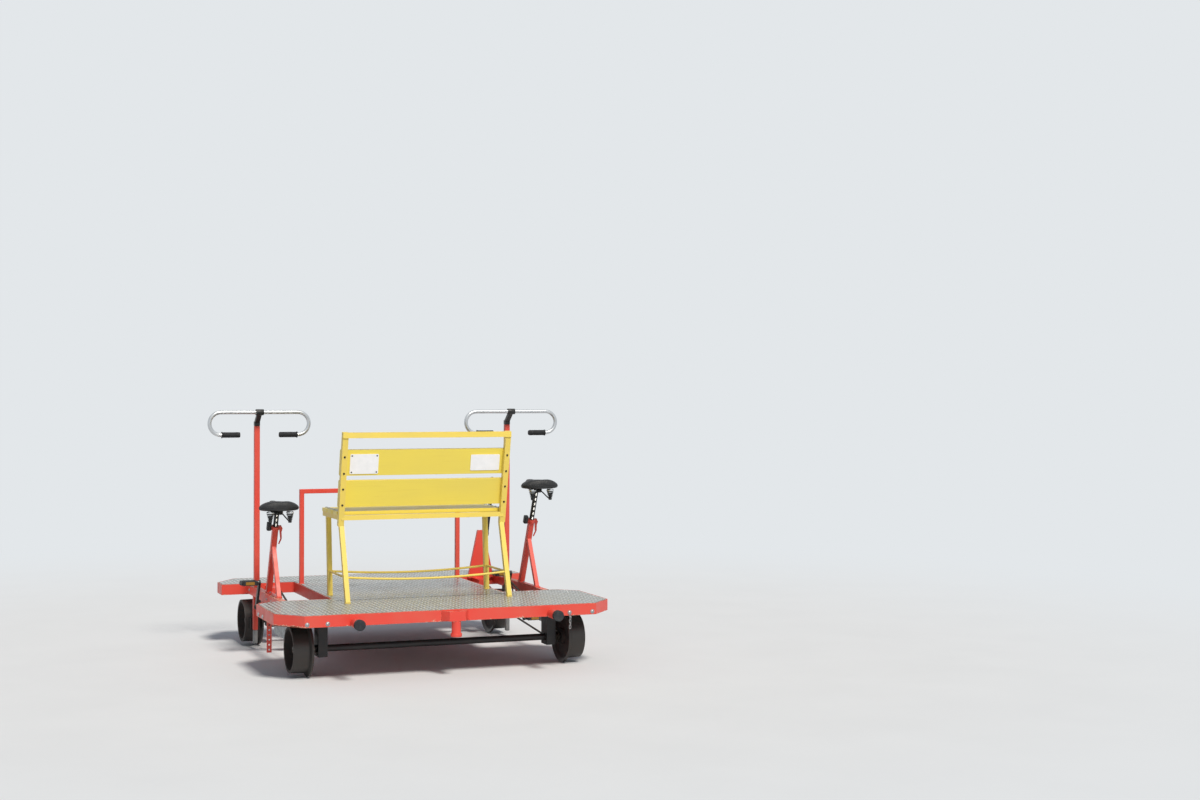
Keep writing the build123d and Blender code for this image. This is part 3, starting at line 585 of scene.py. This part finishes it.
def coil(centre, low, high, wide, narrow, wire, turns):
    """A spring from low to high above its centre: the radius goes from wide to narrow as it climbs."""
    angle = np.linspace(0, 2 * pi * turns, int(22 * turns))
    share = angle / angle[-1]
    radial = np.stack((np.cos(angle), np.sin(angle), 0 * angle), axis=1)
    path = np.asarray(centre) + radial * (wide + (narrow - wide) * share)[:, None]
    path[:, 2] += low + (high - low) * share
    return swept(path, radial, wire, 8)


for name, side in SIDES:
    pad, seam = saddle_shape(side * STAND_X, post_head(name))
    saddle = make_piece(f"{name}_saddle_pad", pad, vinyl,
                        replaces=(f"{name}_saddle",), crease=80, levels=1)
    welt = swept(seam, Z_AXIS, 0.0017, 8, ring=True)
    make_piece(f"{name}_saddle_welt", welt, grip_rubber)

# Frames under the saddles: rails, springs, clamps. Each profile is (distance along the axis, radius)
SPRING_X, SPRING_BACK, CLAMP_DROP = 0.053, 0.084, 0.011
SPRING_SEAT = ((-0.06, 0.004), (-0.06, 0.008), (-0.054, 0.0098), (-0.049, 0.0085))
SPRING_CORE = ((-0.05, 0.0058), (-0.012, 0.016), (0, 0.016))
SPRING_CAP = ((-0.011, 0.017), (-0.01, 0.0202), (-0.004, 0.021), (0.001, 0.017))
SPRING_BAND = ((-0.021, 0.0168), (-0.02, 0.0176), (-0.017, 0.0176), (-0.016, 0.015))
CLAMP_NUT = ((0, 0.009), (0.004, 0.009), (0.006, 0.007), (0.007, 0.003))
CLAMP_BARREL = ((-0.028, 0.009), (-0.027, 0.0125), (-0.017, 0.0125), (-0.016, 0.011),
                (0.016, 0.011), (0.017, 0.0125), (0.027, 0.0125), (0.028, 0.009))
POST_COLLAR = ((-0.01, 0.014), (-0.009, 0.0162), (0.004, 0.0162), (0.006, 0.0135))
rails, springs, bright_caps = [], [], []
for name, side in SIDES:
    y, z = post_head(name)
    x, under = side * STAND_X, z + SADDLE_LOW
    for hand in (-1, 1):
        # From below the spring, forward and in through the clamp, and on to the nose
        route = ((hand * SPRING_X, -SPRING_BACK - 0.01, -0.055), (hand * (SPRING_X - 0.004), -0.06, -0.05),
                 (hand * 0.026, -0.024, -0.016), (hand * 0.022, 0.03, -0.011),
                 (hand * 0.016, 0.07, -0.007), (hand * 0.01, 0.114, -0.005))
        rails.append(swept(eased(route, 60, 12) + (x, y, under), Z_AXIS, 0.0035, 10))
        spring = (x + hand * SPRING_X, y - SPRING_BACK, under)
        springs += [coil(spring, -0.05, -0.006, 0.009, 0.019, 0.0024, 5.5),
                    turned(SPRING_SEAT, spring, Z_AXIS, 20), turned(SPRING_CORE, spring, Z_AXIS, 18)]
        bright_caps += [turned(SPRING_CAP, spring, Z_AXIS, 26), turned(SPRING_BAND, spring, Z_AXIS, 26),
                        turned(CLAMP_NUT, (x + hand * 0.028, y, under - CLAMP_DROP), (hand, 0, 0), 6)]
    rails += [turned(CLAMP_BARREL, (x, y, under - CLAMP_DROP), X_AXIS, 28),
              turned(POST_COLLAR, (x, y, z), Z_AXIS, 28),
              block((x - 0.012, y + 0.1, under - 0.009), (x + 0.012, y + 0.124, under))]
make_piece("saddle_rails", joined(*rails), black, replaces=("saddle_frames",), bevel=0.0008)
make_piece("saddle_springs", joined(*springs), grip_rubber, crease=60)
make_piece("saddle_bright_caps", joined(*bright_caps), chrome)

# Roller chains
ring_r = CHAIN_PITCH / (2 * sin(pi / RING_TEETH))
cog_r = CHAIN_PITCH / (2 * sin(pi / COG_TEETH))
COG = np.array((-AXLE_Y, AXLE_Z))


def chain_line():
    """Pitch points of the loop, (y, z), and their directions: two straight runs tangent to both
    sprockets and an arc on each, cut into equal links."""
    gap = CRANK - COG
    slope = np.arctan2(gap[1], gap[0])
    off = np.arccos((ring_r - cog_r) / np.linalg.norm(gap))
    ring_arc = np.linspace(slope - pi + off, slope + pi - off, 200)
    cog_arc = np.linspace(slope + pi - off, slope + pi + off, 90)
    loop = np.concatenate((CRANK + ring_r * np.stack((np.cos(ring_arc), np.sin(ring_arc)), axis=1),
                           COG + cog_r * np.stack((np.cos(cog_arc), np.sin(cog_arc)), axis=1)))
    loop = np.concatenate((loop, loop[:1]))
    length = np.linalg.norm(np.diff(loop, axis=0), axis=1).sum()
    points = stepped(loop, 2 * round(length / CHAIN_PITCH / 2) + 1)[:-1]
    return points, np.roll(points, -1, axis=0) - points


PLATE_THICK, PLATE_WAIST, PLATE_END_R = 0.001, 0.0028, 0.0042


def side_plate(x):
    """A link plate from x outwards: round ends about the two pins, drawn in to a waist between them."""
    angle = np.linspace(-pi / 2, pi / 2, 5)
    end = np.stack((0 * angle, PLATE_END_R * np.cos(angle), PLATE_END_R * np.sin(angle)), axis=1)
    half = np.concatenate((end + (0, CHAIN_PITCH / 2, 0), ((0, 0, PLATE_WAIST),)))
    outline = np.concatenate((half, half * (1, -1, -1)))
    return prism(outline + (x, 0, 0), (PLATE_THICK, 0, 0))


def roller_link(gap, pin_half, pin_r, around):
    """A link along Y: a plate on either side, gap from the middle, and a pin or roller at both ends."""
    ends = [turned(((-pin_half, pin_r), (pin_half, pin_r)), (0, end * CHAIN_PITCH / 2, 0), X_AXIS, around)
            for end in (-1, 1)]
    return joined(side_plate(gap), side_plate(-gap - PLATE_THICK), *ends)


outer_link = roller_link(0.0033, 0.0048, 0.0016, 6)
inner_link = roller_link(0.0022, 0.0022, 0.0036, 8)
points, along = chain_line()
along = unit(np.concatenate((np.zeros((len(along), 1)), along), axis=1))
axes = np.stack((np.broadcast_to(X_AXIS, along.shape), along, np.cross(X_AXIS, along)), axis=1)
middle = (points + np.roll(points, -1, axis=0)) / 2
links = []
for x in (-CHAIN_X, CHAIN_X):
    origins = np.concatenate((np.full((len(middle), 1), x), middle), axis=1)
    links.append(repeated(outer_link, origins[::2], axes[::2]))
    links.append(repeated(inner_link, origins[1::2], axes[1::2]))
make_piece("roller_chains", joined(*links), chain_steel, replaces=("chains",))

# Grips and pedals
LENS_HALF = np.array((0.024, 0.0012, 0.0085))
rib = np.arange(14)[:, None] * 0.0066 + np.array((0, 0.0014, 0.0032, 0.0046))
rib_r = np.broadcast_to(np.array((0.0142, 0.016, 0.016, 0.0142)), rib.shape)
grip_profile = np.concatenate((((0, 0.0125), (0.0005, 0.0178), (0.0045, 0.0178), (0.006, 0.0142)),
                               np.stack((rib.ravel() + 0.0085, rib_r.ravel()), axis=1),
                               ((0.102, 0.0142), (0.103, 0.013))))
grips = [turned(grip_profile, (x + hand * (BAR_REACH - 0.003), BAR_Y, BAR_Z - BAR_DROP), (-hand, 0, 0), 28)
         for x in (-RAIL_X, RAIL_X) for hand in (-1, 1)]
make_piece("ribbed_grips", joined(*grips), grip_rubber, replaces=("grips",), crease=50)


def pedal_shape(near, far, y, z):
    """A platform pedal along X: a waisted barrel on the pin, two grooved tread bars, two end plates."""
    low, high = min(near, far), max(near, far)
    length = high - low
    barrel = turned(((0, 0.011), (0.006, 0.0135), (0.018, 0.0105), (length - 0.018, 0.0095),
                     (length - 0.006, 0.012), (length, 0.01)), (low, y, z), X_AXIS, 20)
    # One tread bar's side view: teeth of 8 mm along X on the top and the bottom
    teeth = np.linspace(0.006, length - 0.006, 19)
    height = np.where(np.arange(19) % 2 == 0, 0.013, 0.0108)
    top = np.stack((low + teeth, 0 * teeth, height), axis=1)
    outline = np.concatenate((top, (top * (1, 1, -1))[::-1]))
    bars = [prism(outline + (0, y + row, z), (0, 0.015, 0)) for row in (-0.0355, 0.0205)]
    plates = []
    for start in (low, high - 0.004):
        angle = around_circle(40)
        rim = np.stack((0 * angle, 0.0355 * np.sign(np.cos(angle)) * np.abs(np.cos(angle)) ** 0.5,
                        0.0112 * np.sign(np.sin(angle)) * np.abs(np.sin(angle)) ** 0.7), axis=1)
        plates.append(prism(rim + (start, y, z), (0.004, 0, 0)))
    return joined(barrel, *plates), joined(*bars)


for name, side in SIDES:
    for arm, sign, face_x, away in (("outer", 1, 0.804, 1), ("inner", -1, 0.648, -1)):
        y, z = CRANK + sign * CRANK_LEN * np.array((cos(ARM_ANGLE[name]), sin(ARM_ANGLE[name])))
        near, far = side * (face_x + away * 0.005), side * (face_x + away * 0.097)
        body = f"{name}_{arm}_pedal"
        core, treads = pedal_shape(near, far, y, z)
        make_piece(f"{body}_core", core, moulded, body, replaces=(body,), bevel=0.0006)
        make_piece(f"{body}_treads", treads, grip_rubber, body)
        # Reflectors in the gap of each tread bar, facing back and front, and the pin's bright hexagon
        middles = [np.array(((near + far) / 2, y + face, z)) for face in (-0.036, 0.036)]
        lenses = [block(middle - LENS_HALF, middle + LENS_HALF) for middle in middles]
        make_piece(f"{body}_reflectors", joined(*lenses), amber, body, bevel=0.0006)
        hexagon = turned(((0, 0.009), (0.0035, 0.009), (0.0045, 0.0075)),
                         (side * (face_x + away * 0.0002), y, z), (side * away, 0, 0), 6)
        make_piece(f"{body}_pin_hexagon", hexagon, zinc, f"{name}_cranks")

# Bolts and screws
dome_head = turned(((0, 0.0115), (0.0015, 0.0115), (0.0018, 0.0098), (0.0042, 0.0085), (0.0062, 0.0055),
                    (0.007, 0.001)), around=20)
hex_head = joined(turned(((0, 0.0105), (0.0014, 0.0105), (0.0016, 0.01)), around=20),
                  turned(((0.0014, 0.007), (0.0014, 0.0075), (0.0062, 0.0075), (0.007, 0.0062)), around=6))
screw_head = turned(((-0.0006, 0.004), (0.0002, 0.0042), (0.0007, 0.0036), (0.0008, 0.001)), around=16)


def heads(shape, size, places, out):
    """A head, larger or smaller by size, at each place, with its top towards out."""
    return repeated((shape[0] * size, shape[1]), places, facing(out))


back_along = np.array((0, *unit(BACK_TOP - BACK_FOOT)))
back_out = np.cross(X_AXIS, back_along)


def on_back(x, height, out):
    """A point on the leaning bench back: out behind the uprights' middle."""
    t = (height - BACK_FOOT[1]) / (BACK_TOP[1] - BACK_FOOT[1])
    y = BACK_FOOT[0] + t * (BACK_TOP[0] - BACK_FOOT[0])
    return np.array((x, y, height)) + out * back_out


zinc_bolts = []
for end, xs in ((-1, (-0.767, -0.663, 0.63, 0.759)), (1, (-0.765, -0.645, 0.645, 0.765))):
    zinc_bolts.append(heads(dome_head, 1, [(x, end * END_Y, 0.306) for x in xs], (0, end, 0)))
for side in (-1, 1):
    on_rim = [(side * HALF_W, y, 0.305) for y in (-0.41, -0.513)]
    on_rail = [(side * (RAIL_X + 0.02), y, 0.325) for y in (-0.185, -0.06, 0.05, 0.3, 0.52)]
    on_foot_bar = [(side * STAND_X, y, FOOT_BAR_TOP) for y in (-0.088, 0.09)]
    on_slats = [(side * LEG_X, slat + beside, SEAT_TOP) for slat in (-0.262, -0.148, -0.034)
                for beside in (-0.028, 0.028)]
    on_guard = [(side * 0.759, y, 0.268) for y in (-0.415, -0.275, -0.135)]
    zinc_bolts += [heads(dome_head, 1, on_rim, (side, 0, 0)), heads(hex_head, 0.8, on_rail, (side, 0, 0)),
                   heads(hex_head, 0.75, on_foot_bar, Z_AXIS), heads(dome_head, 0.8, on_slats, Z_AXIS),
                   heads(hex_head, 0.7, on_guard, (side, 0, 0))]
make_piece("zinc_bolts", joined(*zinc_bolts), zinc)

BACK_BOLTS = (0.86, 0.945, 1.029, 1.117)
BOX_FACE_X = 0.65
dark_bolts = []
for side in (-1, 1):
    behind = [on_back(side * UPRIGHT_X, height, 0.015) for height in BACK_BOLTS]
    before = [on_back(side * UPRIGHT_X, height, -0.035) for height in BACK_BOLTS]
    dark_bolts += [heads(hex_head, 0.55, behind, back_out), heads(dome_head, 0.7, before, -back_out)]
    for end in (-1, 1):
        on_box = [(side * BOX_FACE_X, end * AXLE_Y + beside, z) for beside in (-0.032, 0.032)
                  for z in (0.125, 0.255)]
        dark_bolts.append(heads(hex_head, 1, on_box, (side, 0, 0)))
make_piece("dark_bolts", joined(*dark_bolts), dark_bolt)

# The left plate is screwed on; the right one is glued
PLATE_X, PLATE_Z = -0.338, 1.073
corner_screws = [on_back(PLATE_X + across * 0.068, PLATE_Z, -0.012) + rise * 0.0445 * back_along
                 for across in (-1, 1) for rise in (-1, 1)]
make_piece("plate_screws", heads(screw_head, 1, corner_screws, back_out), dark_bolt)

deck_screws = [(x, y, DECK_TOP) for y in (-0.875, -0.3) for x in np.linspace(-0.72, 0.72, 7)]
deck_screws += [(side * 0.868, y, DECK_TOP) for side in (-1, 1) for y in (-0.7, -0.555, -0.41)]
deck_screws += [(side * 0.462, y, DECK_TOP) for side in (-1, 1) for y in np.linspace(-0.2, 0.57, 6)]
for y, reach in ((0.65, 0.8), (0.872, 0.72)):
    deck_screws += [(x, y, DECK_TOP) for x in np.linspace(-reach, reach, 7)]
make_piece("deck_screws", heads(screw_head, 1, deck_screws, Z_AXIS), zinc)

# Bright chrome dashes on the backs of the seat posts, a painted highlight broken into dashes: patches
# of the round back, MARK_ANGLE radians to either side of the rear
MARK_ANGLE, MARK_LENGTH, MARK_STEP = 0.3, 0.016, 0.0304
along = np.array((0, *stand_along))
turn = np.linspace(-MARK_ANGLE, MARK_ANGLE, 7)
radial = np.outer(np.cos(turn), np.cross(X_AXIS, along)) + np.outer(np.sin(turn), X_AXIS)
outline = np.concatenate((radial * (POST_R + 0.0004), radial[::-1] * (POST_R - 0.0004)))
mark = prism(outline - MARK_LENGTH / 2 * along, MARK_LENGTH * along)
places = [(side * STAND_X, *(STAND_TOP + step * stand_along)) for name, side in SIDES
          for step in np.arange(0.034, POST_SHOWN[name] - 0.004, MARK_STEP)]
make_piece("post_highlight_dashes", repeated(mark, places, np.eye(3)), chrome)

# Grips of the post clamps' hooked levers: bent rod, from the hook's end down beside the stand. Each
# point is (distance across from the stand's middle, distance along it from its top)
LEVER_ROUTE = ((0.036, -0.05), (0.037, -0.06), (0.0325, -0.074), (0.028, -0.09))
tips = []
for name, side in SIDES:
    route = [(side * STAND_X + across, *(STAND_TOP + reach * stand_along)) for across, reach in LEVER_ROUTE]
    tips.append(swept(eased(route, 24, 4), Y_AXIS, np.linspace(0.0044, 0.0036, 24), 10))
make_piece("clamp_lever_grips", joined(*tips), red)

# Short chain that hangs from a bolt on the rear rim
HUNG_X, HUNG_TOP, HUNG_STEP = 0.63, 0.292, 0.015
WIRE_R, BEND_R, STRAIGHT = 0.0016, 0.0046, 0.009


def chain_link(centre, turned_by):
    """An oblong ring of wire that hangs along Z: two half circles, a straight run apart."""
    angle = around_circle(24)
    across = BEND_R * np.cos(angle)
    rise = BEND_R * np.sin(angle) + STRAIGHT / 2 * np.sign(np.sin(angle))
    flat = np.array((cos(turned_by), sin(turned_by), 0))
    path = np.asarray(centre) + across[:, None] * flat + rise[:, None] * Z_AXIS
    return swept(path, np.cross(flat, Z_AXIS), WIRE_R, 8, ring=True)


hung = [chain_link((HUNG_X + 0.0015 * (k % 2), -END_Y - 0.009, HUNG_TOP - HUNG_STEP * k), 0.35 + k * 1.45)
        for k in range(5)]
make_piece("hanging_chain", joined(*hung), zinc)

# Raised bars of the chequer plate. Each board's right half outline, mirrored for the left
REAR_EDGE_Y, FRONT_EDGE_Y = -0.255, 0.612
REAR_OUTLINE = ((0.78, -END_Y), (HALF_W, -0.768), (HALF_W, -0.345), (0.8, REAR_EDGE_Y))
CENTRE_OUTLINE = ((CENTRE_HALF_W, REAR_EDGE_Y), (CENTRE_HALF_W, FRONT_EDGE_Y))
FRONT_OUTLINE = ((HALF_W, FRONT_EDGE_Y), (HALF_W, 0.742), (0.782, END_Y))
BAR_CELL, BAR_L, BAR_W, BAR_H = 0.026, 0.022, 0.0062, 0.0018


def tread_bar_shape():
    """One bar: a six-sided lozenge below, and above it one 6 mm shorter and about a third as wide, so
    that every side slopes."""
    half = np.array(((0.5, 0), (0.28, 0.5), (-0.28, 0.5), (-0.5, 0), (-0.28, -0.5), (0.28, -0.5)))
    base = np.concatenate((half * (BAR_L, BAR_W), np.zeros((6, 1))), axis=1)
    top = np.concatenate((half * (BAR_L - 0.006, BAR_W * 0.35), np.full((6, 1), BAR_H)), axis=1)
    return skin(np.stack((base, top)))


def inside(points, half_outline, margin):
    """Which points lie inside a convex outline by at least margin. The outline is given for its right
    half and mirrored."""
    half = np.asarray(half_outline, float)
    outline = np.concatenate((half, half[::-1] * (-1, 1)))
    edge = unit(np.roll(outline, -1, axis=0) - outline)
    inward = np.stack((-edge[:, 1], edge[:, 0]), axis=1)
    depth = ((points[:, None] - outline) * inward).sum(axis=2)
    return (depth > margin).all(axis=1)


def bars_on(name, half_outline, margin, cleared):
    """Single bars on a square grid, turned a quarter from cell to cell. Around each cleared box
    (x, y, half x, half y) the plate is bare."""
    steps = np.arange(-36, 37)
    column, row = [grid.ravel() for grid in np.meshgrid(steps, steps)]
    slant = np.where((column + row) % 2 == 0, pi / 4, -pi / 4)
    along = np.stack((np.cos(slant), np.sin(slant), 0 * slant), axis=1)
    axes = np.stack((along, np.cross(Z_AXIS, along), np.broadcast_to(Z_AXIS, along.shape)), axis=1)
    centres = np.stack((column, row), axis=1) * BAR_CELL
    kept = inside(centres, half_outline, margin)
    for x, y, half_x, half_y in cleared:
        kept &= (np.abs(centres[:, 0] - x) > half_x) | (np.abs(centres[:, 1] - y) > half_y)
    origins = [(*centre, DECK_TOP) for centre in centres[kept]]
    bars = repeated(tread_bar_shape(), origins, axes[kept])
    make_piece(name, bars, tread_bar, crease=20)


FOOT_CLEAR = 0.026
JOINT_Y, JOINT_HALF, JOINT_H = -0.347, 0.003, 0.0006
posts = [(side * LEG_X, y, FOOT_CLEAR, FOOT_CLEAR) for side in (-1, 1)
         for y in (REAR_LEG_FOOT_Y, FRONT_LEG_FOOT_Y)]
posts += [(side * HOOP_X, HOOP_Y, FOOT_CLEAR, FOOT_CLEAR) for side in (-1, 1)]
bars_on("rear_deck_bars", REAR_OUTLINE, 0.02, [*posts, (0, JOINT_Y, CENTRE_HALF_W + 0.009, 0.013)])
bars_on("centre_deck_bars", CENTRE_OUTLINE, 0.013, posts)
bars_on("front_deck_bars", FRONT_OUTLINE, 0.02, posts)
joint = block((-CENTRE_HALF_W, JOINT_Y - JOINT_HALF, DECK_TOP),
              (CENTRE_HALF_W, JOINT_Y + JOINT_HALF, DECK_TOP + JOINT_H))
make_piece("deck_joint", joint, cap_rubber)

# Welds: a bead round the foot of each upright, laid in overlapping drops
BEAD_R, BEAD_SWELL = 0.0024, 0.0006


def rounded_loop(x, y, z, half_x, half_y, count):
    """A level rectangle with rounded corners, and the angle at each of its points."""
    angle = around_circle(count)
    across, along = [np.clip(1.25 * wave, -1, 1) for wave in (np.cos(angle), np.sin(angle))]
    return np.stack((x + half_x * across, y + half_y * along, np.full(count, z)), axis=1), angle


def weld(x, y, z, half_x, half_y):
    """A bead round a tube's foot; its radius swells and shrinks every 5 mm."""
    path, angle = rounded_loop(x, y, z, half_x, half_y, 120)
    drops = round((half_x + half_y) * 4 / 0.005)
    return swept(path, Z_AXIS, BEAD_R + BEAD_SWELL * np.abs(np.sin(angle * drops / 2)), 8, ring=True)


red_welds = []
for side in (-1, 1):
    x = side * RAIL_X
    red_welds.append(weld(x, MAST_Y, DECK_TOP, 0.0155, 0.0155))
    for foot, top, half in ((STAND_FOOT, STAND_TOP, 0.015), (STRUT_FOOT, STRUT_TOP, 0.0115)):
        rise = top - foot
        y = foot[0] + (FOOT_BAR_TOP - foot[1]) * rise[0] / rise[1]
        red_welds.append(weld(side * STAND_X, y, FOOT_BAR_TOP, half, half * np.hypot(*rise) / rise[1]))
    red_welds.append(weld(side * HOOP_X, HOOP_Y, DECK_TOP, 0.0128, 0.0128))
    # Along both sides of the bottom bracket
    for line in (-0.036, 0.036):
        run = [(x + step, CRANK[0] + line, 0.299) for step in np.linspace(-0.018, 0.018, 24)]
        red_welds.append(swept(run, Z_AXIS, BEAD_R + BEAD_SWELL * np.abs(np.sin(np.arange(24) * 0.9)), 8))
make_piece("red_welds", joined(*red_welds), red, crease=80)
yellow_welds = []
for side in (-1, 1):
    for top, foot_y in ((BACK_FOOT, REAR_LEG_FOOT_Y), (FRONT_LEG_TOP, FRONT_LEG_FOOT_Y)):
        slant = np.hypot(top[0] - foot_y, top[1] - DECK_TOP) / (top[1] - DECK_TOP)
        yellow_welds.append(weld(side * LEG_X, foot_y, DECK_TOP, 0.0128, 0.0128 * slant))
    # Ground bead where the upright meets the top rail
    corner = rounded_loop(side * UPRIGHT_X, TOP_RAIL_Y, TOP_RAIL_LOW, 0.0151, 0.0154, 60)[0]
    yellow_welds.append(swept(corner, Z_AXIS, 0.0016, 8, ring=True))
make_piece("yellow_welds", joined(*yellow_welds), yellow, crease=80)

# Axle ends with their centre holes, and the bolts of the chainrings and cranks
AXLE_END = ((0, 0.0172), (0.0015, 0.0168), (0.003, 0.015), (0.003, 0.006), (-0.002, 0.001))
AXLE_END_X, RING_BOLT_R, CRANK_FACE_X = 0.7685, 0.082, 0.804
for body, y in (("rear_wheelset", -AXLE_Y), ("front_wheelset", AXLE_Y)):
    ends = [turned(AXLE_END, (side * AXLE_END_X, y, AXLE_Z), (side, 0, 0), 28) for side in (-1, 1)]
    make_piece(f"{body}_axle_ends", joined(*ends), dark_bolt, body)
turn = around_circle(5) + pi / 5
circle = CRANK + RING_BOLT_R * np.stack((np.sin(turn), np.cos(turn)), axis=1)
for name, side in SIDES:
    origins = [(side * (CHAIN_X - 0.0012), y, z) for y, z in circle]
    ring_bolts = heads(dome_head, 0.38, origins, (-side, 0, 0))
    make_piece(f"{name}_ring_bolts", ring_bolts, zinc, f"{name}_cranks")
    crank_bolt = heads(dome_head, 1.05, [(side * CRANK_FACE_X, *CRANK)], (side, 0, 0))
    make_piece(f"{name}_crank_bolt", crank_bolt, dark_bolt, f"{name}_cranks")

# Camera, light and floor
YAW, PITCH, ROLL = radians(22.29), radians(0.69), radians(0.245)
CAMERA_PLACE, FOCAL_MM = (-2.867, -9.85, 1.538), 54.915
FLOOR_HALF, FLOOR_Z = 60, -0.001
PALE = "#E3E7EA"


def placed(name, data, across, up, back, place):
    """An object at place, whose local x, y and z lie along across, up and back."""
    thing = linked(name, data)
    rows = np.stack((across, up, back, place), axis=1)
    thing.matrix_world = Matrix([*rows.tolist(), (0, 0, 0, 1)])
    return thing


def seen_rays(tree):
    """1 for rays from the camera and from sharp reflections, 0 for those that only gather light."""
    rays = add_node(tree, "ShaderNodeLightPath")
    return combine(tree, rays.outputs["Is Camera Ray"], rays.outputs["Is Glossy Ray"], "MAXIMUM")


forward = np.array((sin(YAW) * cos(PITCH), cos(YAW) * cos(PITCH), -sin(PITCH)))
level_right = unit(np.cross(forward, Z_AXIS))
level_up = np.cross(level_right, forward)
right = cos(ROLL) * level_right + sin(ROLL) * level_up
up = cos(ROLL) * level_up - sin(ROLL) * level_right
lens = bpy.data.cameras.new("Camera")
lens.lens, lens.sensor_width, lens.sensor_fit = FOCAL_MM, 36, "HORIZONTAL"
lens.clip_end = 200
bpy.context.scene.camera = placed("Camera", lens, right, up, -forward, CAMERA_PLACE)

sun = bpy.data.lights.new("Key", "SUN")
sun.energy, sun.angle, sun.color = 3.0, radians(12), linear("#FFF8EE")[:3]
key_back = unit((0.05, -0.66, 0.75))
key_across = unit(np.cross(Z_AXIS, key_back))
placed("Key", sun, key_across, np.cross(key_back, key_across), key_back, 3 * key_back)

world = bpy.data.worlds.new("Studio")
bpy.context.scene.world = world
world.use_nodes = True
tree = world.node_tree
tree.nodes.clear()
sky = add_node(tree, "ShaderNodeBackground", {"Color": linear("#E4EDFA"), "Strength": 0.3})
pale = add_node(tree, "ShaderNodeBackground", {"Color": linear(PALE), "Strength": 1.0})
seen = seen_rays(tree)
mixed = add_node(tree, "ShaderNodeMixShader", {0: seen, 1: sky.outputs[0], 2: pale.outputs[0]})
add_node(tree, "ShaderNodeOutputWorld", {"Surface": mixed.outputs[0]})

# The floor is lit near the trolley and turns into the backdrop's own colour farther out
floor_paint, tree, shader, where = new_finish("Pale floor", roughness=0.9, specular_ior_level=0.1)
cloud = ramp(tree, speckle(tree, where, 0.6, 4), 0.3, 0.7)
feed(tree, shader, base_color=blended(tree, cloud, "#E4E7EA", "#E7EAED"))
away = add_node(tree, "ShaderNodeVectorMath", {0: where}, operation="LENGTH").outputs["Value"]
far_out = add_node(tree, "ShaderNodeMapRange", {0: away, 1: 2.2, 2: 7.0}, interpolation_type="SMOOTHSTEP")
share = combine(tree, seen_rays(tree), far_out.outputs[0])
glow = add_node(tree, "ShaderNodeEmission", {"Color": linear(PALE), "Strength": 1.0})
mixed = add_node(tree, "ShaderNodeMixShader", {0: share, 1: shader.outputs[0], 2: glow.outputs[0]})
drawn = next(node for node in tree.nodes if node.type == "OUTPUT_MATERIAL")
tree.links.new(mixed.outputs[0], drawn.inputs["Surface"])
corners = [(x * FLOOR_HALF, y * FLOOR_HALF, FLOOR_Z) for x, y in ((-1, -1), (1, -1), (1, 1), (-1, 1))]
floor_mesh = bpy.data.meshes.new("Floor")
floor_mesh.from_pydata(corners, [], [(0, 1, 2, 3)])
floor_mesh.materials.append(floor_paint)
floor = linked("Floor", floor_mesh)
bpy.context.scene.view_settings.view_transform = "Standard"
